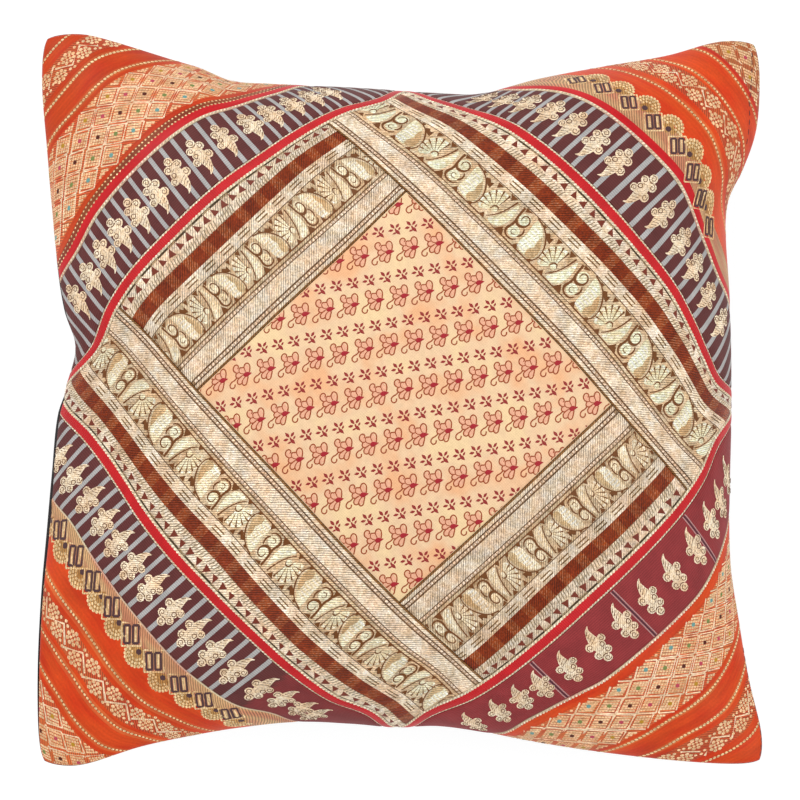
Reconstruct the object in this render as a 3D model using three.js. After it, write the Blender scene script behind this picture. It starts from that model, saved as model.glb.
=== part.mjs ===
// Square patchwork cushion cover, filled, lying on its back with the crown up.
// Millimetres, +Z up, +Y is the top edge of the face, origin on the rest face under the middle.
import * as THREE from 'three';

// Driving sizes of the sewn cover
const FLAT_SIDE = 406;
const CROWN = 70;
const BACK_FORM = 63;
const SEAM_HEIGHT = 58;
const CORNER_DROOP = 7;
const CORNER_ROUNDING = 0.018;
const SECTION_BLUNTNESS = 0.56;
const CORNER_BLUNTNESS = 0.92;
const SEAM_PULL = 3;
const DENT_FADE = 5;
const PANEL_SHIFT = 5.3;
const PANEL_SHEAR = { down: 9.9, across: 4.6 };

// Flat layout of the front, as distances from the middle towards a corner
const RIBBON_WIDTH = 7;
const CORNER_PANEL_END = 278;
const SEAM_MARGIN = 6;

// Thin sewn-on cloth
const CLOTH_GAP = 1.05;
const CLOTH_THICKNESS = 1.2;
const RIBBON_THICKNESS = 1.6;
const SIDE_GAP = 0.4;

// Mesh spacing
const BODY_CELLS = 38;
const EDGE_BIAS = 0.6;
const STRIP_STEP = 10;
const END_PASSES = 4;

const HALF_SIDE = FLAT_SIDE / 2;
const HALF_DIAGONAL = HALF_SIDE * Math.SQRT2;
const BACK = -1;
const FRONT = 1;

// Corner tips of the filled cover seen from above
const TIPS = {
  topLeft: { x: -192.2, y: 196.8 },
  topRight: { x: 192.8, y: 193.8 },
  bottomRight: { x: 196.3, y: -196.2 },
  bottomLeft: { x: -193.7, y: -196.7 },
};

// How the filling shapes each side. power makes the section from the middle to that side fuller,
// and reach is that section's length as a share of half the flat side. bow is the even drawing in
// of the side, and rows give the whole of it: along runs 0 to 1 from the first tip to the second,
// in is the distance from the straight line between the tips.
const SIDES = {
  left: {
    power: 2,
    reach: 0.9,
    bow: 15.7,
    rows: [
      { along: 0, in: 0 }, { along: 0.08, in: 1.2 }, { along: 0.16, in: 4.5 },
      { along: 0.24, in: 7.5 }, { along: 0.32, in: 10.1 }, { along: 0.38, in: 14 },
      { along: 0.43, in: 20.2 }, { along: 0.48, in: 16 }, { along: 0.52, in: 10.6 },
      { along: 0.6, in: 7.5 }, { along: 0.68, in: 4.8 }, { along: 0.76, in: 2.1 },
      { along: 0.86, in: 0.2 }, { along: 1, in: 0 },
    ],
  },
  right: {
    power: 3.4,
    reach: 0.855,
    bow: 22,
    rows: [
      { along: 0, in: 0 }, { along: 0.07, in: 0.8 }, { along: 0.13, in: 3.7 },
      { along: 0.18, in: 11 }, { along: 0.22, in: 19 }, { along: 0.26, in: 21.2 },
      { along: 0.36, in: 19.5 }, { along: 0.5, in: 19 }, { along: 0.63, in: 20.5 },
      { along: 0.72, in: 20.2 }, { along: 0.8, in: 15.5 }, { along: 0.88, in: 9.8 },
      { along: 0.95, in: 2.8 }, { along: 1, in: 0 },
    ],
  },
  top: {
    power: 5,
    reach: 0.8,
    bow: 33.3,
    rows: [
      { along: 0, in: 0 }, { along: 0.06, in: 1 }, { along: 0.1, in: 5 },
      { along: 0.18, in: 15 }, { along: 0.22, in: 19.8 }, { along: 0.265, in: 27 },
      { along: 0.32, in: 28.5 }, { along: 0.44, in: 30.4 }, { along: 0.56, in: 33 },
      { along: 0.61, in: 33 }, { along: 0.69, in: 24.8 }, { along: 0.78, in: 17.6 },
      { along: 0.87, in: 10.7 }, { along: 0.94, in: 2.4 }, { along: 1, in: 0 },
    ],
  },
  bottom: {
    power: 2,
    reach: 0.85,
    bow: 18.5,
    rows: [
      { along: 0, in: 0 }, { along: 0.06, in: 1.5 }, { along: 0.14, in: 11.7 },
      { along: 0.2, in: 17.3 }, { along: 0.27, in: 22.4 }, { along: 0.36, in: 26 },
      { along: 0.43, in: 25 }, { along: 0.49, in: 23 }, { along: 0.55, in: 23.7 },
      { along: 0.62, in: 19.8 }, { along: 0.7, in: 13.8 }, { along: 0.8, in: 7.7 },
      { along: 0.9, in: 3 }, { along: 1, in: 0 },
    ],
  },
};

// The hand-sewn lines of each quarter, on the flat cover. panel is how far out the middle square
// ends, ribbon rows give the middle line of the ribbon and corner rows the seam of the corner piece.
// aside runs along the strip, to the left as seen from outside the corner.
const QUARTERS = [
  {
    name: 'top_right',
    panel: 77.3,
    ribbon: [
      { aside: -140, out: 146 }, { aside: -118, out: 136.5 }, { aside: -90, out: 139 },
      { aside: -60, out: 143 }, { aside: 0, out: 144 }, { aside: 60, out: 144.5 },
      { aside: 90, out: 143.5 }, { aside: 115, out: 139.5 }, { aside: 140, out: 146 },
    ],
    corner: [
      { aside: -100, out: 179 }, { aside: -82, out: 176 }, { aside: -60, out: 178.5 },
      { aside: -35, out: 182 }, { aside: 0, out: 182 }, { aside: 45, out: 182.5 },
      { aside: 65, out: 180.5 }, { aside: 84, out: 177 }, { aside: 100, out: 181 },
    ],
  },
  {
    name: 'top_left',
    panel: 74.8,
    ribbon: [
      { aside: -140, out: 141 }, { aside: -115, out: 132.5 }, { aside: -90, out: 137 },
      { aside: -60, out: 139.5 }, { aside: 0, out: 143.5 }, { aside: 60, out: 146 },
      { aside: 90, out: 143.5 }, { aside: 110, out: 144.5 }, { aside: 135, out: 152 },
    ],
    corner: [
      { aside: -100, out: 178 }, { aside: -80, out: 173 }, { aside: -60, out: 174 },
      { aside: -35, out: 178.5 }, { aside: 0, out: 182 }, { aside: 50, out: 183 },
      { aside: 75, out: 181 }, { aside: 100, out: 187 },
    ],
  },
  {
    name: 'bottom_left',
    panel: 77.7,
    ribbon: [
      { aside: -140, out: 143 }, { aside: -110, out: 137.5 }, { aside: -90, out: 138 },
      { aside: -60, out: 141.5 }, { aside: 0, out: 146.3 }, { aside: 60, out: 148.5 },
      { aside: 90, out: 146.5 }, { aside: 118, out: 141.5 }, { aside: 140, out: 149 },
    ],
    corner: [
      { aside: -100, out: 177.5 }, { aside: -80, out: 175 }, { aside: -60, out: 176.5 },
      { aside: -30, out: 181 }, { aside: 0, out: 184 }, { aside: 35, out: 186 },
      { aside: 62, out: 186 }, { aside: 82, out: 181.5 }, { aside: 100, out: 184 },
    ],
  },
  {
    name: 'bottom_right',
    panel: 77.5,
    ribbon: [
      { aside: -140, out: 144 }, { aside: -120, out: 139.5 }, { aside: -90, out: 142.5 },
      { aside: -40, out: 143 }, { aside: 0, out: 143.3 }, { aside: 60, out: 144.8 },
      { aside: 90, out: 143.5 }, { aside: 112, out: 140.5 }, { aside: 138, out: 150 },
    ],
    corner: [
      { aside: -100, out: 177.5 }, { aside: -80, out: 173 }, { aside: -60, out: 174.5 },
      { aside: -35, out: 178.5 }, { aside: 0, out: 181.5 }, { aside: 35, out: 184 },
      { aside: 60, out: 185 }, { aside: 100, out: 187 },
    ],
  },
];

// Soft hollows in the front where the seam gathers the cloth. u and v run -1 to 1 over the flat cover.
const PUCKERS = [
  { u: -0.9, v: 0.13, depth: 3.5, long: 0.26, wide: 0.12, turn: 0.1 },
  { u: -0.42, v: 0.9, depth: 3, long: 0.24, wide: 0.12, turn: 1.2 },
  { u: 0.88, v: 0.58, depth: 3, long: 0.24, wide: 0.12, turn: 0.35 },
  { u: 0.22, v: 0.9, depth: 2.5, long: 0.2, wide: 0.12, turn: 1.8 },
  { u: 0.9, v: -0.5, depth: 2.5, long: 0.22, wide: 0.12, turn: -0.3 },
  { u: -0.3, v: -0.9, depth: 2.5, long: 0.2, wide: 0.12, turn: -1.3 },
];

// Smooth curve through table rows, level beyond its ends
function throughRows(rows, place, value, at) {
  const where = THREE.MathUtils.clamp(at, rows[0][place], rows[rows.length - 1][place]);
  let k = 0;
  while (k < rows.length - 2 && where > rows[k + 1][place]) k += 1;
  const slope = (i) => {
    const before = rows[Math.max(i - 1, 0)];
    const after = rows[Math.min(i + 1, rows.length - 1)];
    return (after[value] - before[value]) / (after[place] - before[place]);
  };
  const span = rows[k + 1][place] - rows[k][place];
  const t = (where - rows[k][place]) / span;
  const rise = t * t * (3 - 2 * t);
  const startTangent = t * (1 - t) * (1 - t) * slope(k) * span;
  const endTangent = t * t * (t - 1) * slope(k + 1) * span;
  return rows[k][value] * (1 - rise) + rows[k + 1][value] * rise + startTangent + endTangent;
}
const drawnIn = (side, along) => throughRows(side.rows, 'along', 'in', along);

// The even bow of a side reaches the middle of the cover, its dents fade near the seam
function sideShift(side, along, reach) {
  const bow = side.bow * (1 - Math.abs(2 * along - 1) ** 2.4);
  return bow * reach + (drawnIn(side, along) - bow) * reach ** DENT_FADE;
}

function planPoint(x, y) {
  const alongDown = (1 - y) / 2;
  const alongAcross = (1 + x) / 2;
  const mix = (key) => (
    TIPS.topLeft[key] * (1 - x) * (1 + y) + TIPS.topRight[key] * (1 + x) * (1 + y)
    + TIPS.bottomLeft[key] * (1 - x) * (1 - y) + TIPS.bottomRight[key] * (1 + x) * (1 - y)
  ) / 4;
  const acrossShift = x < 0 ? sideShift(SIDES.left, alongDown, -x) : -sideShift(SIDES.right, alongDown, x);
  const downShift = y < 0 ? sideShift(SIDES.bottom, alongAcross, -y) : -sideShift(SIDES.top, alongAcross, y);
  const middle = (1 - x * x) * (1 - y * y);
  return {
    x: mix('x') + acrossShift + PANEL_SHEAR.across * y * middle,
    y: mix('y') + downShift + (PANEL_SHIFT - PANEL_SHEAR.down * x) * middle,
  };
}

// Arc length along the section to one side, so that cloth keeps its length over the crown
function sectionTable(side) {
  const table = [{ length: 0, across: 0 }];
  const steps = 400;
  let previous = { across: 0, up: CROWN };
  for (let i = 1; i <= steps; i += 1) {
    const across = Math.sin((i / steps) * Math.PI / 2);
    const up = CROWN * (1 - across ** side.power) ** SECTION_BLUNTNESS;
    const run = (across - previous.across) * side.reach * HALF_SIDE;
    table.push({ length: table[i - 1].length + Math.hypot(run, up - previous.up), across });
    previous = { across, up };
  }
  return table;
}
const SECTIONS = new Map(Object.values(SIDES).map((side) => [side, sectionTable(side)]));

// Share of the way to the side, seen from above, for a share of the way along the cloth
function acrossAt(part, lowSide, highSide) {
  const table = SECTIONS.get(part < 0 ? lowSide : highSide);
  const target = Math.abs(part) * table[table.length - 1].length;
  let low = 0;
  let high = table.length - 1;
  while (high - low > 1) {
    const middle = (low + high) >> 1;
    if (table[middle].length < target) low = middle;
    else high = middle;
  }
  const t = (target - table[low].length) / (table[high].length - table[low].length);
  return Math.sign(part) * (table[low].across + t * (table[high].across - table[low].across));
}

// Share of the full height. A section is blunt at the middle of a side and thins to a flat ear
// towards a corner.
function swell(x, y, lowSide, highSide) {
  const bluntness = THREE.MathUtils.lerp(SECTION_BLUNTNESS, CORNER_BLUNTNESS, y * y);
  const { power } = x < 0 ? lowSide : highSide;
  return Math.max(0, 1 - Math.abs(x) ** power) ** bluntness;
}

function puckerDepth(u, v) {
  return PUCKERS.reduce((sum, p) => {
    const along = (u - p.u) * Math.cos(p.turn) + (v - p.v) * Math.sin(p.turn);
    const aside = -(u - p.u) * Math.sin(p.turn) + (v - p.v) * Math.cos(p.turn);
    return sum + p.depth * Math.exp(-((along / p.long) ** 2) - ((aside / p.wide) ** 2));
  }, 0);
}

// A point of the cover from its place in the flat square, u and v from -1 to 1
function coverPoint(u, v, face) {
  const { left, right, top, bottom } = SIDES;
  const x = THREE.MathUtils.lerp(acrossAt(u, left, right), u, Math.abs(v) ** SEAM_PULL);
  const y = THREE.MathUtils.lerp(acrossAt(v, bottom, top), v, Math.abs(u) ** SEAM_PULL);
  const tuck = 1 - CORNER_ROUNDING * (Math.abs(u * v) ** 20);
  const plan = planPoint(x * tuck, y * tuck);
  const full = swell(x, y, left, right) * swell(y, x, bottom, top);
  const seam = SEAM_HEIGHT - CORNER_DROOP * (u * v) ** 4;
  const dent = puckerDepth(u, v) * Math.min(1, full * 3);
  const z = face === FRONT ? seam + CROWN * full - dent : Math.max(0, seam - BACK_FORM * full);
  return new THREE.Vector3(plan.x, plan.y, z);
}

function coverNormal(u, v) {
  const e = 0.004;
  const inside = (w) => THREE.MathUtils.clamp(w, -1 + 2 * e, 1 - 2 * e);
  const cu = inside(u);
  const cv = inside(v);
  const du = coverPoint(cu + e, cv, FRONT).sub(coverPoint(cu - e, cv, FRONT));
  const dv = coverPoint(cu, cv + e, FRONT).sub(coverPoint(cu, cv - e, FRONT));
  return du.cross(dv).normalize();
}

function solid(points, triangles) {
  const geometry = new THREE.BufferGeometry();
  geometry.setAttribute('position', new THREE.Float32BufferAttribute(points.flatMap((p) => [p.x, p.y, p.z]), 3));
  geometry.setIndex(triangles.flat());
  geometry.computeVertexNormals();
  return geometry;
}

function cloth(name, colour, roughness, metalness, geometry) {
  const material = new THREE.MeshStandardMaterial({ color: colour, roughness, metalness });
  const mesh = new THREE.Mesh(geometry, material);
  mesh.name = name;
  return mesh;
}

// Grid lines from -1 to 1 that lie closer together towards the seam, where the cloth turns
function gridLine(i, cells) {
  const t = (2 * i) / cells - 1;
  return t * (1 - EDGE_BIAS) + Math.sin((t * Math.PI) / 2) * EDGE_BIAS;
}

// The filled form with its plain back: two swollen faces that share the seam
function filledForm() {
  const points = [];
  const triangles = [];
  const places = new Map();
  const place = (i, j, face) => {
    const onSeam = i === 0 || j === 0 || i === BODY_CELLS || j === BODY_CELLS;
    const key = `${i},${j},${onSeam ? 0 : face}`;
    if (!places.has(key)) {
      places.set(key, points.length);
      points.push(coverPoint(gridLine(i, BODY_CELLS), gridLine(j, BODY_CELLS), face));
    }
    return places.get(key);
  };
  for (const face of [FRONT, BACK]) {
    for (let j = 0; j < BODY_CELLS; j += 1) {
      for (let i = 0; i < BODY_CELLS; i += 1) {
        const ring = [
          place(i, j, face), place(i + 1, j, face), place(i + 1, j + 1, face), place(i, j + 1, face),
        ];
        const towardsCorner = (i < BODY_CELLS / 2) === (j < BODY_CELLS / 2);
        const halves = towardsCorner
          ? [[ring[0], ring[1], ring[2]], [ring[0], ring[2], ring[3]]]
          : [[ring[0], ring[1], ring[3]], [ring[1], ring[2], ring[3]]];
        triangles.push(...halves.map((t) => (face === FRONT ? t : [t[0], t[2], t[1]])));
      }
    }
  }
  return solid(points, triangles);
}

// A cut piece of the front, between two sewn lines. The quarter's number turns it from the top
// right corner in quarter turns to the left. from and to give how far out the lines run at a place
// aside, and asideFrom and asideTo give where the piece ends at a distance out.
function cutPiece({ quarter, from, to, asideFrom, asideTo, thickness }) {
  const angle = Math.PI / 4 + (quarter * Math.PI) / 2;
  const at = (out, aside, lift) => {
    const flatX = out * Math.cos(angle) - aside * Math.sin(angle);
    const flatY = out * Math.sin(angle) + aside * Math.cos(angle);
    const u = flatX / HALF_SIDE;
    const v = flatY / HALF_SIDE;
    return coverPoint(u, v, FRONT).addScaledVector(coverNormal(u, v), lift);
  };
  const outAt = (aside, r) => THREE.MathUtils.lerp(from(aside), to(aside), r);
  const endOf = (side, r) => {
    let aside = side(outAt(0, r));
    for (let k = 0; k < END_PASSES; k += 1) aside = side(outAt(aside, r));
    return aside;
  };
  const rows = Math.max(1, Math.round((to(0) - from(0)) / STRIP_STEP));
  const columns = Math.max(2, Math.round((endOf(asideTo, 0) - endOf(asideFrom, 0)) / STRIP_STEP));
  const points = [];
  const triangles = [];
  for (const lift of [CLOTH_GAP, CLOTH_GAP + thickness]) {
    for (let r = 0; r <= rows; r += 1) {
      const start = endOf(asideFrom, r / rows);
      const end = endOf(asideTo, r / rows);
      for (let c = 0; c <= columns; c += 1) {
        const aside = THREE.MathUtils.lerp(start, end, (1 + gridLine(c, columns)) / 2);
        points.push(at(outAt(aside, r / rows), aside, lift));
      }
    }
  }
  const layer = (rows + 1) * (columns + 1);
  const lower = (r, c) => r * (columns + 1) + c;
  const upper = (r, c) => layer + lower(r, c);
  const quad = (a, b, c, d) => triangles.push([a, b, c], [a, c, d]);
  for (let r = 0; r < rows; r += 1) {
    for (let c = 0; c < columns; c += 1) {
      quad(upper(r, c), upper(r + 1, c), upper(r + 1, c + 1), upper(r, c + 1));
      quad(lower(r, c), lower(r, c + 1), lower(r + 1, c + 1), lower(r + 1, c));
    }
    quad(lower(r, 0), lower(r + 1, 0), upper(r + 1, 0), upper(r, 0));
    quad(lower(r + 1, columns), lower(r, columns), upper(r, columns), upper(r + 1, columns));
  }
  for (let c = 0; c < columns; c += 1) {
    quad(lower(0, c + 1), lower(0, c), upper(0, c), upper(0, c + 1));
    quad(lower(rows, c), lower(rows, c + 1), upper(rows, c + 1), upper(rows, c));
  }
  return solid(points, triangles);
}

const line = (quarter, name, aside) => throughRows(QUARTERS[quarter % 4][name], 'aside', 'out', aside);
const ribbonInner = (quarter, aside) => line(quarter, 'ribbon', aside) - RIBBON_WIDTH / 2;
const ribbonOuter = (quarter, aside) => line(quarter, 'ribbon', aside) + RIBBON_WIDTH / 2;

// How far along a strip the cloth goes before the seam of the cover
const seamAside = (out) => HALF_DIAGONAL - SEAM_MARGIN - out;

// Where a strip meets the ribbon of the quarter to its left (aside rises) and to its right
const leftRibbon = (quarter, out) => ribbonInner(quarter + 1, -out) - SIDE_GAP;
const rightRibbon = (quarter, out) => -ribbonInner(quarter + 3, out) + SIDE_GAP;
const runsFullLength = (quarter) => quarter % 2 === 0;

function centrePanel() {
  const [topRight, topLeft, bottomLeft, bottomRight] = QUARTERS.map((q) => q.panel - SIDE_GAP);
  return cloth('centre_panel', 0xf2c08c, 0.55, 0.1, cutPiece({
    quarter: 0,
    from: () => -bottomLeft,
    to: () => topRight,
    asideFrom: () => -bottomRight,
    asideTo: () => topLeft,
    thickness: CLOTH_THICKNESS,
  }));
}

// Two opposite gold bands run from ribbon to ribbon and the other two fit between them
function goldBand(quarter) {
  const leftPanel = QUARTERS[(quarter + 1) % 4].panel - SIDE_GAP;
  const rightPanel = QUARTERS[(quarter + 3) % 4].panel - SIDE_GAP;
  const full = runsFullLength(quarter);
  return cloth(`gold_band_${QUARTERS[quarter].name}`, 0xb9925f, 0.45, 0.4, cutPiece({
    quarter,
    from: () => QUARTERS[quarter].panel + SIDE_GAP,
    to: (aside) => ribbonInner(quarter, aside) - SIDE_GAP,
    asideFrom: (out) => (full ? Math.max(rightRibbon(quarter, out), -seamAside(out)) : -rightPanel),
    asideTo: (out) => (full ? Math.min(leftRibbon(quarter, out), seamAside(out)) : leftPanel),
    thickness: CLOTH_THICKNESS,
  }));
}

// Strips outside the gold bands run into the seam, or meet a full-length ribbon before it
function outerStrip(name, colour, roughness, quarter, from, to, thickness) {
  const full = runsFullLength(quarter);
  return cloth(`${name}_${QUARTERS[quarter].name}`, colour, roughness, 0, cutPiece({
    quarter,
    from: (aside) => from(aside) + SIDE_GAP,
    to: (aside) => to(aside) - SIDE_GAP,
    asideFrom: (out) => Math.max(-seamAside(out), full ? -HALF_DIAGONAL : rightRibbon(quarter, out)),
    asideTo: (out) => Math.min(seamAside(out), full ? HALF_DIAGONAL : leftRibbon(quarter, out)),
    thickness,
  }));
}

const cushionCover = new THREE.Group();
cushionCover.add(cloth('filled_cover', 0x1c1a1b, 0.85, 0, filledForm()));
cushionCover.add(centrePanel());
for (let quarter = 0; quarter < QUARTERS.length; quarter += 1) {
  const inner = (aside) => ribbonInner(quarter, aside);
  const outer = (aside) => ribbonOuter(quarter, aside);
  const corner = (aside) => line(quarter, 'corner', aside);
  const end = () => CORNER_PANEL_END + SIDE_GAP;
  cushionCover.add(goldBand(quarter));
  cushionCover.add(outerStrip('red_ribbon', 0xd22b2e, 0.5, quarter, inner, outer, RIBBON_THICKNESS));
  cushionCover.add(outerStrip('sprig_band', 0x6a3040, 0.6, quarter, outer, corner, CLOTH_THICKNESS));
  cushionCover.add(outerStrip('corner_panel', 0xd8552a, 0.5, quarter, corner, end, CLOTH_THICKNESS));
}

export default cushionCover;
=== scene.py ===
"""Filled patchwork cushion cover of old sari borders: its cloth, weaving, figures and sewing."""
import math
from functools import partial

import bpy
import numpy as np
from bpy.props import FloatProperty, FloatVectorProperty, PointerProperty
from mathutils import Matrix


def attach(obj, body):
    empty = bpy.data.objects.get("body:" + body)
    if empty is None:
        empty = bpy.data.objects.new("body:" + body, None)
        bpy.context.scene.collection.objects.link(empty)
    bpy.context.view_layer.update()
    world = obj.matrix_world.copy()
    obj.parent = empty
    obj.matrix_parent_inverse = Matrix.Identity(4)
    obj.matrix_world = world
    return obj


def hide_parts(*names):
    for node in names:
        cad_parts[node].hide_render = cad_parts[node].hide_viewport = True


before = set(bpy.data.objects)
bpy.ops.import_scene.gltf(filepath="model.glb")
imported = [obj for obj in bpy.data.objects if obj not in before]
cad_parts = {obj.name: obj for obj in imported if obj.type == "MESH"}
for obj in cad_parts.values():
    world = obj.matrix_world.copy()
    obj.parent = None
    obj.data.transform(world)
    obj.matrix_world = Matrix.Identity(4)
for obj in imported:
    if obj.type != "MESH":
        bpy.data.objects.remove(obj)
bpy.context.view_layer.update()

bl_info = {
    "name": "Patchwork Cushion Cover",
    "version": (1, 0, 0),
    "blender": (4, 5, 0),
    "location": "3D View > Sidebar > Cushion Cover",
    "description": "Makes a filled cushion cover sewn from woven border strips",
    "category": "Add Mesh",
}

MM = 0.001

# Where the four tips of the filled cover lie seen from above, in mm
TIPS = {"top_left": (-192.2, 196.8), "top_right": (192.8, 193.8),
        "bottom_left": (-193.7, -196.7), "bottom_right": (196.3, -196.2)}
# How the filling shapes each side. power makes the section to that side fuller, reach is its length
# as a share of half the flat side, bow draws the side in evenly, and rows give (share of the way
# along the side, mm in from the straight line between the tips).
SIDES = {
    "left": {"power": 2, "reach": 0.9, "bow": 15.7, "rows": [
        (0, 0), (0.08, 1.2), (0.16, 4.5), (0.24, 7.5), (0.32, 10.1), (0.38, 14), (0.43, 20.2),
        (0.48, 16), (0.52, 10.6), (0.6, 7.5), (0.68, 4.8), (0.76, 2.1), (0.86, 0.2), (1, 0)]},
    "right": {"power": 3.4, "reach": 0.855, "bow": 22, "rows": [
        (0, 0), (0.07, 0.8), (0.13, 3.7), (0.18, 11), (0.22, 19), (0.26, 21.2), (0.36, 19.5),
        (0.5, 19), (0.63, 20.5), (0.72, 20.2), (0.8, 15.5), (0.88, 9.8), (0.95, 2.8), (1, 0)]},
    "top": {"power": 5, "reach": 0.8, "bow": 33.3, "rows": [
        (0, 0), (0.06, 1), (0.1, 5), (0.18, 15), (0.22, 19.8), (0.265, 27), (0.32, 28.5),
        (0.44, 30.4), (0.56, 33), (0.61, 33), (0.69, 24.8), (0.78, 17.6), (0.87, 10.7),
        (0.94, 2.4), (1, 0)]},
    "bottom": {"power": 2, "reach": 0.85, "bow": 18.5, "rows": [
        (0, 0), (0.06, 1.5), (0.14, 11.7), (0.2, 17.3), (0.27, 22.4), (0.36, 26), (0.43, 25),
        (0.49, 23), (0.55, 23.7), (0.62, 19.8), (0.7, 13.8), (0.8, 7.7), (0.9, 3), (1, 0)]},
}
# The corners: mm that they hang under the seam, and the share by which they are rounded
CORNER_DROOP = 7
CORNER_ROUNDING = 0.018
# Powers: how bluntly the crown ends at a side's middle and at a corner, how far in the cloth keeps to
# the seam's own places, and how fast the dents of a side fade inwards
SECTION_BLUNTNESS = 0.56
CORNER_BLUNTNESS = 0.92
SEAM_PULL = 3
DENT_FADE = 5
# How far the middle is sewn out of place and out of square, in mm
PANEL_SHIFT = 5.3
PANEL_SHEAR_DOWN = 9.9
PANEL_SHEAR_ACROSS = 4.6

# Soft hollows where the seam gathers the cloth: u, v, depth in mm, length, width and turn
PUCKERS = [(-0.9, 0.13, 3.5, 0.26, 0.12, 0.1), (-0.42, 0.9, 3, 0.24, 0.12, 1.2),
           (0.88, 0.58, 3, 0.24, 0.12, 0.35), (0.22, 0.9, 2.5, 0.2, 0.12, 1.8),
           (0.9, -0.5, 2.5, 0.22, 0.12, -0.3), (-0.3, -0.9, 2.5, 0.2, 0.12, -1.3)]

# The hand-sewn lines of each quarter on the flat cover, from the top right corner in quarter turns to
# the left: the edge of the middle square, the ribbon and the corner's seam. Rows give (aside, out) in
# mm. out is the distance from the middle towards the corner, and aside runs to the left as seen from
# outside.
QUARTERS = [
    {"name": "top_right",
     "panel": [(-75, 76.6), (-45, 77.3), (-20, 77), (10, 76.3), (45, 76.1), (75, 76.1)],
     "ribbon": [(-140, 145), (-118, 133.8), (-100, 135.2), (-85, 138.4), (-60, 142.7), (-30, 143.6),
                (0, 143.4), (50, 142.5), (65, 142.7), (85, 141.8), (115, 137.5), (140, 144)],
     "corner": [(-100, 176.5), (-82, 173.5), (-60, 177.2), (-40, 180.9), (-20, 181.1), (0, 180.3),
                (45, 180.4), (60, 179), (72, 176.2), (85, 173.5), (100, 177)]},
    {"name": "top_left",
     "panel": [(-75, 74.6), (-45, 73.2), (-25, 72.6), (0, 72.4), (30, 72.6), (50, 73), (75, 74.3)],
     "ribbon": [(-140, 139), (-115, 129.5), (-90, 133.7), (-60, 136.5), (-40, 138), (-20, 140.1),
                (0, 141.5), (30, 142.6), (60, 143.8), (80, 143), (95, 141.8), (110, 142), (135, 149)],
     "corner": [(-100, 176), (-80, 170.8), (-60, 172.8), (-35, 176.3), (-20, 178), (0, 179.4),
                (50, 181.3), (75, 179), (100, 184.8)]},
    {"name": "bottom_left",
     "panel": [(-75, 77.4), (-40, 77.2), (0, 76.8), (30, 77.2), (75, 77.3)],
     "ribbon": [(-140, 141.5), (-110, 135.7), (-90, 136), (-70, 138.6), (-50, 141.9), (-25, 144.3),
                (0, 145), (40, 146), (65, 147), (95, 146.8), (118, 141), (140, 148)],
     "corner": [(-100, 175), (-80, 172.3), (-60, 174.9), (-30, 179.3), (0, 183), (20, 185),
                (35, 185.6), (62, 185.8), (82, 180), (100, 182.5)]},
    {"name": "bottom_right",
     "panel": [(-75, 77.5), (0, 77.3), (45, 77), (75, 77.5)],
     "ribbon": [(-140, 143.2), (-120, 138.8), (-90, 141.8), (-40, 142.2), (0, 142.1), (50, 143.6),
                (70, 144), (90, 143.2), (112, 139.8), (138, 148)],
     "corner": [(-100, 176.5), (-80, 172.2), (-60, 173), (-45, 175.3), (-30, 178.3), (0, 180.4),
                (25, 182.6), (45, 185.2), (62, 186), (100, 185.5)]},
]
# Widths of the pieces, and how far out the tip of a corner lies, in mm
PANEL_SIDE = 153
RIBBON_WIDTH = 7
GOLD_WIDTH = 63.5
SPRIG_WIDTH = 34.5
CORNER_DEPTH = 103
CORNER_TIP = 287

# How the stripes of a corner wander, as rows of (aside, mm out), near its seam and near its tip. They
# let go of the seam, and pass over to the tip's rows, from a place in mm out and over a length.
SEAM_TO_FREE = (187, 9)
LOW_TO_HIGH = (195, 45)
CORNER_BENDS = (
    {"low": ((-60, -8), (-40, -5), (-30, -3.7), (-17, -0.9), (0, 0), (18, 0.8), (38, 1.6), (60, 2)),
     "high": ((-60, -8), (-37, -5), (-18, -2.3), (-7, -1), (0, 0), (9, 1.3), (20, 2.7), (35, 2.8))},
    {"low": ((-90, -8), (-60, -5.5), (-32, -2.8), (-15, -0.5), (0, 0), (18, -0.7), (35, 0.5), (50, 2),
             (90, 3)),
     "high": ((-40, -3), (-30, -2.2), (-12, 0.1), (0, 0), (12, -0.4), (22, 0.6), (32, 3.2), (42, 6))},
    {"low": ((-80, -12), (-48, -9), (-35, -8), (-20, -4.6), (-10, -2), (0, 0), (10, 1.7), (25, 2.3),
             (45, 0.8), (60, 1)),
     "high": ((-40, -6.5), (-30, -5.4), (-20, -4.2), (-10, -2), (0, 0), (10, 1.3), (20, 2.3), (35, 1))},
    {"low": ((-80, -9), (-46, -6.5), (-37, -4.9), (-20, -2.3), (0, 0), (18, 1.7), (38, 3), (60, 3.4)),
     "high": ((-60, -7), (-35, -6.4), (-26, -6), (-18, -4.8), (-9, -2.2), (0, 0), (10, 1.9), (30, 2.3))},
)

# Cells along a side: of the filled form, of the cloth that settles, and of the body
FORM_CELLS = 400
SETTLING_CELLS = 56
BODY_CELLS = 160
# The settling's frames and pressure, and how far the face may move in it, in mm
SETTLING_FRAMES = 20
SETTLING_PRESSURE = 4
SETTLING_LIMIT = 6

# The sewn-on cloth, in mm: the step of its mesh, the room it leaves at the cover's seam and at the next
# piece, how far the body lies under the form, and how far the cloth's underside lies over it
CLOTH_STEP = 2.2
SEAM_MARGIN = 0.8
PIECE_GAP = 0.12
BODY_SINK = 0.3
UNDERSIDE = 0.15
# Its edges, in mm: where lines of points lie, how soft they are, and where they turn in at the seam.
# The shares of its thickness say how much it loses at an edge and what is left at the seam.
EDGE_LINES = (0, 0.35, 0.9, 1.8)
EDGE_SOFTNESS = 1.1
EDGE_LOSS = 0.6
SEAM_TURN = 3.5
SEAM_SHARE = 0.45
# Where a gold border's stripes begin to wander, in mm across, and how soon they do so fully and cease
WANDER_START = 18
WANDER_RISE = 22
WANDER_FALL = 9
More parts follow.
